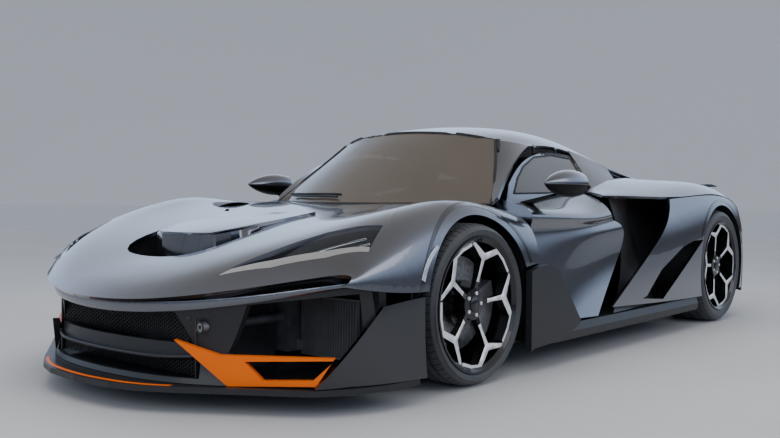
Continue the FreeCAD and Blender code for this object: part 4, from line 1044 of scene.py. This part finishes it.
class SUPERCAR_OT_front_linings(bpy.types.Operator):
    """Lines the hood's opening, the vanes' inner sides and the sides of the centre intake"""

    bl_idname = "supercar.front_linings"
    bl_label = "Front linings"

    def execute(self, context):
        def in_hood_opening(place, normal):
            return (abs(normal.z) < 0.35 and normal.y < 0.3 and -2.0 < place.y < -1.3
                    and abs(place.x) < 0.36 and place.z > 0.5)

        def on_inner_side(place, normal):
            return normal.x * place.x < -0.25 * abs(place.x)

        dress(facing("nose", in_hood_opening, 0.0005), "hood_opening_walls", "root", "paint",
              smooth=60)
        dress(facing("vanes", on_inner_side, 0.0006), "vane_inner_sides", "root", "trim")

        outline = ((-1.03, 0.118), (-0.655, 0.118), (-0.655, 0.40), (-1.03, 0.36))
        intake_half, wall = 0.452, 0.006
        walls = [plate(side_outline(side * intake_half, outline), (side * wall, 0, 0))
                 for side in (-1, 1)]
        dress(joined(walls), "intake_side_walls", "root", "trim")
        return {"FINISHED"}


class SUPERCAR_OT_louvres(bpy.types.Operator):
    """Adds the upright slats in front of each side radiator, between two rails"""

    bl_idname = "supercar.louvres"
    bl_label = "Side intake louvres"

    def execute(self, context):
        first, pitch, slat_width, rail_height = 0.545, 0.0135, 0.003, 0.006
        front = FRONT_AXLE - 0.590

        def upright(left, right, bottom, top, reach):
            return plate([(left, front, bottom), (right, front, bottom), (right, front, top),
                          (left, front, top)], reach)

        slats = []
        for index in range(context.scene.supercar_trim.louvres):
            x = first + pitch * index
            slats.append(upright(x, x + slat_width, 0.165, 0.385, (0.004, 0.016, 0)))
        for z in (0.160, 0.385):  # rails
            slats.append(upright(0.54, 0.85, z, z + rail_height, (0, 0.018, 0)))
        dress(both_sides(joined(slats)), "side_intake_louvres", "root", "trim", "slat")
        return {"FINISHED"}


class SUPERCAR_OT_towing_eye(bpy.types.Operator):
    """Adds the collar round the towing eye's hole"""

    bl_idname = "supercar.towing_eye"
    bl_label = "Towing eye's collar"

    def execute(self, context):
        centre = Vector((0.481, FRONT_AXLE - 1.032, 0.302))
        collar = ring(centre, turned_to((0, 1, 0.05)), radius=0.02, thickness=0.003)
        dress(collar, "towing_eye_collar", "root", "trim", smooth=60)
        return {"FINISHED"}


# Mirrors and tail


class SUPERCAR_OT_mirrors(bpy.types.Operator):
    """Gives each mirror its glass, its black underside and its stalk"""

    bl_idname = "supercar.mirrors"
    bl_label = "Mirrors"

    def execute(self, context):
        stalk_end = 0.93  # where the stalk meets the housing
        paint_edge = 0.836  # height at which the paint ends
        skin = 0.0007
        for _, label in SIDES:
            node, door = "mirror_" + label, "door_" + label
            glass = facing(node, lambda place, normal: normal.y > 0.55, 0.0008)
            dress(glass, node + "_glass", door, "glass", "mirror", smooth=40)
            housing = facing(node, lambda place, normal: (
                abs(place.x) >= stalk_end and normal.y <= 0.55), lift=skin)
            bpy.ops.object.mode_set(mode="EDIT")
            bpy.ops.mesh.select_all(action="SELECT")
            bpy.ops.mesh.bisect(
                plane_co=(0, 0, paint_edge), plane_no=(0, 0, 1), clear_outer=True)
            bpy.ops.object.mode_set(mode="OBJECT")
            stalk = facing(node, lambda place, normal: abs(place.x) < stalk_end, lift=skin)
            under = joined([housing, stalk])
            modify(under, "SOLIDIFY", thickness=0.0006, offset=-1.0)
            dress(under, node + "_underside", door, "trim", "gloss", smooth=40)
        return {"FINISHED"}


EXHAUSTS = (-0.12, 0.12)
EXHAUST_HEIGHT = 0.632


class SUPERCAR_OT_tail(bpy.types.Operator):
    """Adds the tail mesh round the exhausts and their rolled lips"""

    bl_idname = "supercar.tail"
    bl_label = "Tail"

    def execute(self, context):
        mesh = hexagon_mesh((0, REAR_AXLE + 0.545, 0.553), 1.16, 0.31, cell=0.0135, bar=0.0024,
                            depth=0.004)
        activate(mesh)
        hole = 0.076  # radius of the mesh's hole round each exhaust
        drop_faces(mesh, lambda place, normal: min(
            math.hypot(place.x - x, place.z - EXHAUST_HEIGHT) for x in EXHAUSTS) < hole)
        bpy.ops.object.mode_set(mode="OBJECT")
        dress(mesh, "tail_mesh", "root", "trim")
        lips = []
        for x in EXHAUSTS:
            for y, radius, thickness in ((0.670, 0.060, 0.0038), (0.548, 0.069, 0.005)):
                centre = Vector((x, REAR_AXLE + y, EXHAUST_HEIGHT))
                lips.append(ring(centre, turned_to(TO_TAIL), radius, thickness))
        dress(joined(lips), "exhaust_lips", "root", "exhaust", smooth=60)
        return {"FINISHED"}


# Cabin


def pad_block(size, place, tilt, channels=0):
    """Crowned cushion with sewn channels, tilted about the X direction."""
    clear_selection()
    bpy.ops.mesh.primitive_cube_add(size=1)
    piece = bpy.context.object
    piece.scale = size
    place_in_mesh(piece)
    bpy.ops.object.mode_set(mode="EDIT")
    bpy.ops.mesh.select_all(action="SELECT")
    bpy.ops.mesh.subdivide(number_cuts=9)
    bpy.ops.object.mode_set(mode="OBJECT")
    half = Vector(size) / 2
    channel_depth = 0.006
    for vertex in piece.data.vertices:
        u, v, w = vertex.co.x / half.x, vertex.co.y / half.y, vertex.co.z / half.z
        # Thick in the middle, thinner to the edges, and with sides that are pulled in
        crown = (1 - min(1.0, abs(u)) ** 4) * (1 - min(1.0, abs(v)) ** 4)
        vertex.co.z *= 0.55 + 0.45 * crown ** 0.5
        vertex.co.x *= 1 - 0.06 * abs(w) ** 2 - 0.05 * abs(v) ** 4
        vertex.co.y *= 1 - 0.04 * abs(w) ** 2
        if channels and w > 0.3:
            phase = abs((v * channels) % 2 - 1)
            groove = max(0.0, 1 - 3.5 * min(phase, 1 - phase))
            vertex.co.z -= channel_depth * groove * crown
    modify(piece, "SUBSURF", levels=1, render_levels=1)
    turn = Matrix.Rotation(tilt, 4, "X")
    piece.data.transform(Matrix.Translation((place[0], FRONT_AXLE + place[1], place[2])) @ turn)
    return piece


class SUPERCAR_OT_seats(bpy.types.Operator):
    """Models the seats: shell, padded cushion, back, headrest and side rolls, and the belts"""

    bl_idname = "supercar.seats"
    bl_label = "Seats"

    shell_outline = (
        (0.900, 0.1655), (1.380, 0.1655), (1.560, 0.560), (1.636, 0.860), (1.600, 0.868),
        (1.480, 0.560), (1.372, 0.300), (1.330, 0.285), (0.960, 0.315), (0.905, 0.300))
    wing_outline = (
        (1.330, 0.315), (1.400, 0.300), (1.575, 0.560), (1.640, 0.800), (1.560, 0.835),
        (1.420, 0.600), (1.300, 0.420), (1.000, 0.405), (0.930, 0.330))

    def shell(self, x):
        """Bevelled tub of a seat with a thin wing on each side."""
        half_tub, half_seat, wing_width = 0.222, 0.215, 0.014
        tub = plate(side_outline(x - half_tub, self.shell_outline), (2 * half_tub, 0, 0))
        modify(tub, "BEVEL", width=0.014, segments=3, limit_method="ANGLE")
        wings = []
        for edge in (-1, 1):
            wing = plate(side_outline(x + edge * half_seat, self.wing_outline),
                         (edge * wing_width, 0, 0))
            modify(wing, "BEVEL", width=0.005, segments=2, limit_method="ANGLE")
            wings.append(wing)
        return joined([tub] + wings)

    def belts(self, x):
        """Two flat straps over a seat's back."""
        run = ((1.560, 0.770), (1.485, 0.700), (1.400, 0.520), (1.340, 0.405))
        return joined([ribbon(side_outline(x + edge * 0.055, run), lean=(edge, 0, 0),
                              width=0.045, thickness=0.0025) for edge in (-1, 1)])

    def execute(self, context):
        for side, label in SIDES:
            x = side * 0.36
            shell = self.shell(x)
            dress(shell, "seat_shell_" + label, "root", "upholstery", "trim", smooth=40)
            if label == "left":
                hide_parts("seats")
            for kind, size, y, z, tilt, channels, fill in (
                    ("cushion", (0.30, 0.40, 0.075), 1.135, 0.335, -0.07, 5, 0.7),
                    ("back", (0.29, 0.42, 0.070), 1.435, 0.560, 1.16, 6, 0.7),
                    ("headrest", (0.22, 0.15, 0.070), 1.545, 0.800, 1.20, 0, 0.8)):
                pad = pad_block(size, (x, y, z), tilt, channels)
                dress(pad, "seat_%s_%s" % (kind, label), "root", "upholstery", "leather",
                      smooth=60)
            for edge, where in ((-1, "inner"), (1, "outer")):
                roll_x = x + side * edge * 0.176
                lower = pad_block((0.060, 0.36, 0.100), (roll_x, 1.130, 0.352), -0.06)
                dress(lower, "seat_side_%s_%s" % (where, label), "root", "upholstery")
                upper = pad_block((0.060, 0.40, 0.100), (roll_x, 1.420, 0.570), 1.16)
                dress(upper, "back_side_%s_%s" % (where, label), "root", "upholstery",
                      smooth=60)
            dress(self.belts(x), "seat_belts_" + label, "root", "upholstery", "belt", smooth=40)
        return {"FINISHED"}


def sloped_plate(corners, reach):
    """Four-cornered plate across the car: (x, y from the front axle, z) of each corner."""
    return plate([(x, FRONT_AXLE + y, z) for x, y, z in corners], (0, reach, 0))


class SUPERCAR_OT_instruments(bpy.types.Operator):
    """Models the hood over the instruments, their screen and the centre screen"""

    bl_idname = "supercar.instruments"
    bl_label = "Instruments"

    def execute(self, context):
        hood = sloped_plate(((0.20, 0.60, 0.722), (0.48, 0.60, 0.722), (0.47, 0.60, 0.790),
                             (0.21, 0.60, 0.790)), 0.105)
        modify(hood, "BEVEL", width=0.02, segments=4, limit_method="ANGLE")
        dress(hood, "instrument_hood", "root", "upholstery")
        screen = sloped_plate(((0.225, 0.708, 0.728), (0.455, 0.708, 0.728),
                               (0.450, 0.702, 0.780), (0.230, 0.702, 0.780)), 0.004)
        centre = sloped_plate(((-0.07, 0.765, 0.60), (0.07, 0.765, 0.60), (0.07, 0.735, 0.735),
                               (-0.07, 0.735, 0.735)), 0.012)
        modify(centre, "BEVEL", width=0.004, segments=2, limit_method="ANGLE")
        dress(joined([screen, centre]), "screens", "root", "trim", "lamp", smooth=30)
        return {"FINISHED"}


class SUPERCAR_OT_steering_pad(bpy.types.Operator):
    """Models the round pad in the middle of the steering wheel"""

    bl_idname = "supercar.steering_pad"
    bl_label = "Steering pad"

    def execute(self, context):
        hub = Vector((0.34, FRONT_AXLE + 0.86, 0.68))
        column_foot = Vector((0.34, FRONT_AXLE + 0.74, 0.64))
        axis = (hub - column_foot).normalized()
        pad = button(hub + axis * 0.004, turned_to(axis), sides=48, radius=0.058, depth=0.034,
                     edge=0.010, segments=4)
        dress(pad, "steering_pad", "steering_wheel", "upholstery", smooth=50)
        return {"FINISHED"}


# Lamps


class SUPERCAR_OT_headlamps(bpy.types.Operator):
    """Adds bright blades and light bars inside the headlamps"""

    bl_idname = "supercar.headlamps"
    bl_label = "Headlamps"

    def execute(self, context):
        tree = tree_of("headlamps")
        lines = []
        for x0, y0, x1, y1 in ((0.715, -0.795, 0.845, -0.555), (0.745, -0.800, 0.872, -0.565),
                               (0.775, -0.800, 0.895, -0.590)):
            run = [(x0 + (x1 - x0) * t, FRONT_AXLE + y0 + (y1 - y0) * t, ABOVE_CAR)
                   for t in (0.0, 0.33, 0.66, 1.0)]
            lines.append(landed(tree, run, DOWN, lift=0.016))
        blades = joined([ribbon(line, lean=(0.5, -0.6, 0.5), width=0.014, thickness=0.003)
                         for line in lines])
        above_blade = Vector((0.004, -0.004, 0.006))
        lights = joined([tube([point + above_blade for point in line], radius=0.0035)
                         for line in lines[:2]])
        paint_over(frame["nodes"]["lamp_blades"], "chrome")
        dress(both_sides(blades), "headlamp_blades", "root", "alloy", "chrome", smooth=40)
        dress(both_sides(lights), "headlamp_lights", "root", "lamp", "led", smooth=40)
        return {"FINISHED"}


class SUPERCAR_OT_tail_lights(bpy.types.Operator):
    """Adds the light strips of the tail lamps"""

    bl_idname = "supercar.tail_lights"
    bl_label = "Tail lights"

    def execute(self, context):
        spots = [(x, BEHIND_CAR, z) for x, z in (
            (0.58, 0.752), (0.70, 0.733), (0.85, 0.708), (0.91, 0.698))]
        line = landed(tree_of("tail_lamps"), spots, TO_NOSE, lift=0.002)
        strips = [tube([point + Vector((0, 0, rise)) for point in line], radius=0.003)
                  for rise in (-0.006, 0.004)]
        dress(both_sides(joined(strips)), "tail_light_strips", "root", "tail_lamp", "red_led",
              smooth=60)
        return {"FINISHED"}


# Stage


def area_light(name, place, aim, size, power, colour, in_gloss=True):
    """Soft box that faces a point, and may be left out of the reflections."""
    data = bpy.data.lights.new(name, "AREA")
    data.shape = "RECTANGLE"
    data.size, data.size_y = size
    data.energy = power
    data.color = colour
    lamp = bpy.data.objects.new(name, data)
    lamp.visible_glossy = in_gloss
    lamp.location = place
    lamp.rotation_mode = "QUATERNION"
    lamp.rotation_quaternion = (Vector(aim) - Vector(place)).to_track_quat("-Z", "Y")
    bpy.context.scene.collection.objects.link(lamp)


def stage_piece(name, material, roughness, mottling, dark, light):
    """Makes the new object a named piece of the stage with its own pale finish."""
    piece = bpy.context.object
    piece.name = name
    finish = new_material(material, roughness=roughness)
    mottle(finish, mottling, dark, light)
    piece.data.materials.append(finish)
    return piece


def make_sky(strength):
    """Even light all round: dark at the floor, brightest low down, softer overhead."""
    world = bpy.data.worlds.new("studio")
    bpy.context.scene.world = world
    world.use_nodes = True
    nodes = world.node_tree.nodes
    where = nodes.new("ShaderNodeTexCoord")
    parts = nodes.new("ShaderNodeSeparateXYZ")
    ramp = nodes.new("ShaderNodeValToRGB")
    stops = ramp.color_ramp.elements
    stops[0].color = (0.055, 0.05, 0.048, 1)
    stops[1].color = (0.66, 0.63, 0.6, 1)
    for height, colour in ((0.055, (0.085, 0.078, 0.075, 1)), (0.17, (1.2, 1.5, 2.0, 1)),
                           (0.38, (1.3, 1.55, 2.0, 1)), (0.66, (0.86, 0.87, 0.9, 1))):
        stops.new(height).color = colour
    links = world.node_tree.links
    links.new(where.outputs["Generated"], parts.inputs["Vector"])
    links.new(parts.outputs["Z"], ramp.inputs["Fac"])
    links.new(ramp.outputs["Color"], nodes["Background"].inputs["Color"])
    nodes["Background"].inputs["Strength"].default_value = strength


class SUPERCAR_OT_stage(bpy.types.Operator):
    """Adds the camera, the pale floor and backdrop, and the soft studio light"""

    bl_idname = "supercar.stage"
    bl_label = "Stage"

    def execute(self, context):
        view = context.scene.supercar_camera
        data = bpy.data.cameras.new("camera")
        data.lens = view.lens
        data.sensor_width = 36.0
        data.sensor_fit = "HORIZONTAL"
        camera = bpy.data.objects.new("camera", data)
        camera.matrix_world = (
            Matrix.Translation(view.place) @ Matrix.Rotation(view.heading, 4, "Z")
            @ Matrix.Rotation(math.pi / 2 - view.pitch, 4, "X")
            @ Matrix.Rotation(view.roll, 4, "Z"))
        context.scene.collection.objects.link(camera)
        context.scene.camera = camera

        clear_selection()
        bpy.ops.mesh.primitive_plane_add(size=240, location=(0, 0, -0.0005))
        stage_piece("floor", "pale_floor", 0.75, 0.7, (0.44, 0.44, 0.445), (0.48, 0.48, 0.485))

        # Only the camera sees the backdrop, so it changes no light and no reflection
        clear_selection()
        bpy.ops.mesh.primitive_cylinder_add(
            vertices=128, radius=70, depth=90, end_fill_type="NOTHING", location=(0, 0, 44.9))
        backdrop = stage_piece("backdrop", "pale_backdrop", 0.9, 0.02, (0.72, 0.70, 0.675),
                               (0.75, 0.73, 0.705))
        place_in_mesh(backdrop)
        bpy.ops.object.shade_smooth_by_angle(angle=math.radians(30))
        backdrop.visible_diffuse = backdrop.visible_glossy = backdrop.visible_shadow = False

        lights = context.scene.supercar_light
        make_sky(lights.sky)
        area_light("top_box", (0.5, -1.0, 5.2), (0.2, -0.2, 0), (5.0, 7.5), lights.top,
                   (1.0, 0.98, 0.96), in_gloss=False)
        area_light("front_box", (1.5, -7.5, 3.2), (0, -1.5, 0.5), (5.0, 2.5), lights.fill,
                   (1.0, 0.97, 0.93))
        area_light("side_box", (6.0, 0.5, 3.4), (0.5, 0.3, 0.5), (5.5, 2.0), lights.fill,
                   (1.0, 0.96, 0.92))
        return {"FINISHED"}


# Panel, registration and the order of work

OPERATORS = [
    SUPERCAR_OT_finishes, SUPERCAR_OT_tyres, SUPERCAR_OT_wheels, SUPERCAR_OT_arch_edges,
    SUPERCAR_OT_seals, SUPERCAR_OT_side_walls, SUPERCAR_OT_side_markers, SUPERCAR_OT_wiper,
    SUPERCAR_OT_sensors, SUPERCAR_OT_intake_meshes, SUPERCAR_OT_front_strips,
    SUPERCAR_OT_front_linings, SUPERCAR_OT_louvres, SUPERCAR_OT_towing_eye,
    SUPERCAR_OT_mirrors, SUPERCAR_OT_tail, SUPERCAR_OT_seats, SUPERCAR_OT_instruments,
    SUPERCAR_OT_steering_pad, SUPERCAR_OT_headlamps, SUPERCAR_OT_tail_lights,
    SUPERCAR_OT_stage,
]
SETTINGS = {
    "supercar_paint": PaintSettings,
    "supercar_wheels": WheelSettings,
    "supercar_trim": TrimSettings,
    "supercar_camera": CameraSettings,
    "supercar_light": LightSettings,
}


class SUPERCAR_PT_dressing(bpy.types.Panel):
    """Lists the dressing steps and the sizes and colours that they use"""

    bl_label = "Supercar"
    bl_idname = "SUPERCAR_PT_dressing"
    bl_space_type = "VIEW_3D"
    bl_region_type = "UI"
    bl_category = "Supercar"

    def draw(self, context):
        for step in OPERATORS:
            self.layout.operator(step.bl_idname)
        for name, settings in SETTINGS.items():
            for entry in settings.__annotations__:
                self.layout.prop(getattr(context.scene, name), entry)


CLASSES = list(SETTINGS.values()) + OPERATORS + [SUPERCAR_PT_dressing]


def register():
    """Makes Blender know the settings, the steps and the panel."""
    for entry in CLASSES:
        bpy.utils.register_class(entry)
    for name, settings in SETTINGS.items():
        setattr(bpy.types.Scene, name, PointerProperty(type=settings))


def unregister():
    """Takes them out again."""
    for name in SETTINGS:
        delattr(bpy.types.Scene, name)
    for entry in reversed(CLASSES):
        bpy.utils.unregister_class(entry)


def main():
    """Registers the add-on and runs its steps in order."""
    register()
    for step in OPERATORS:
        group, action = step.bl_idname.split(".")
        getattr(getattr(bpy.ops, group), action)()
    bpy.context.view_layer.update()


if __name__ == "__main__":
    main()
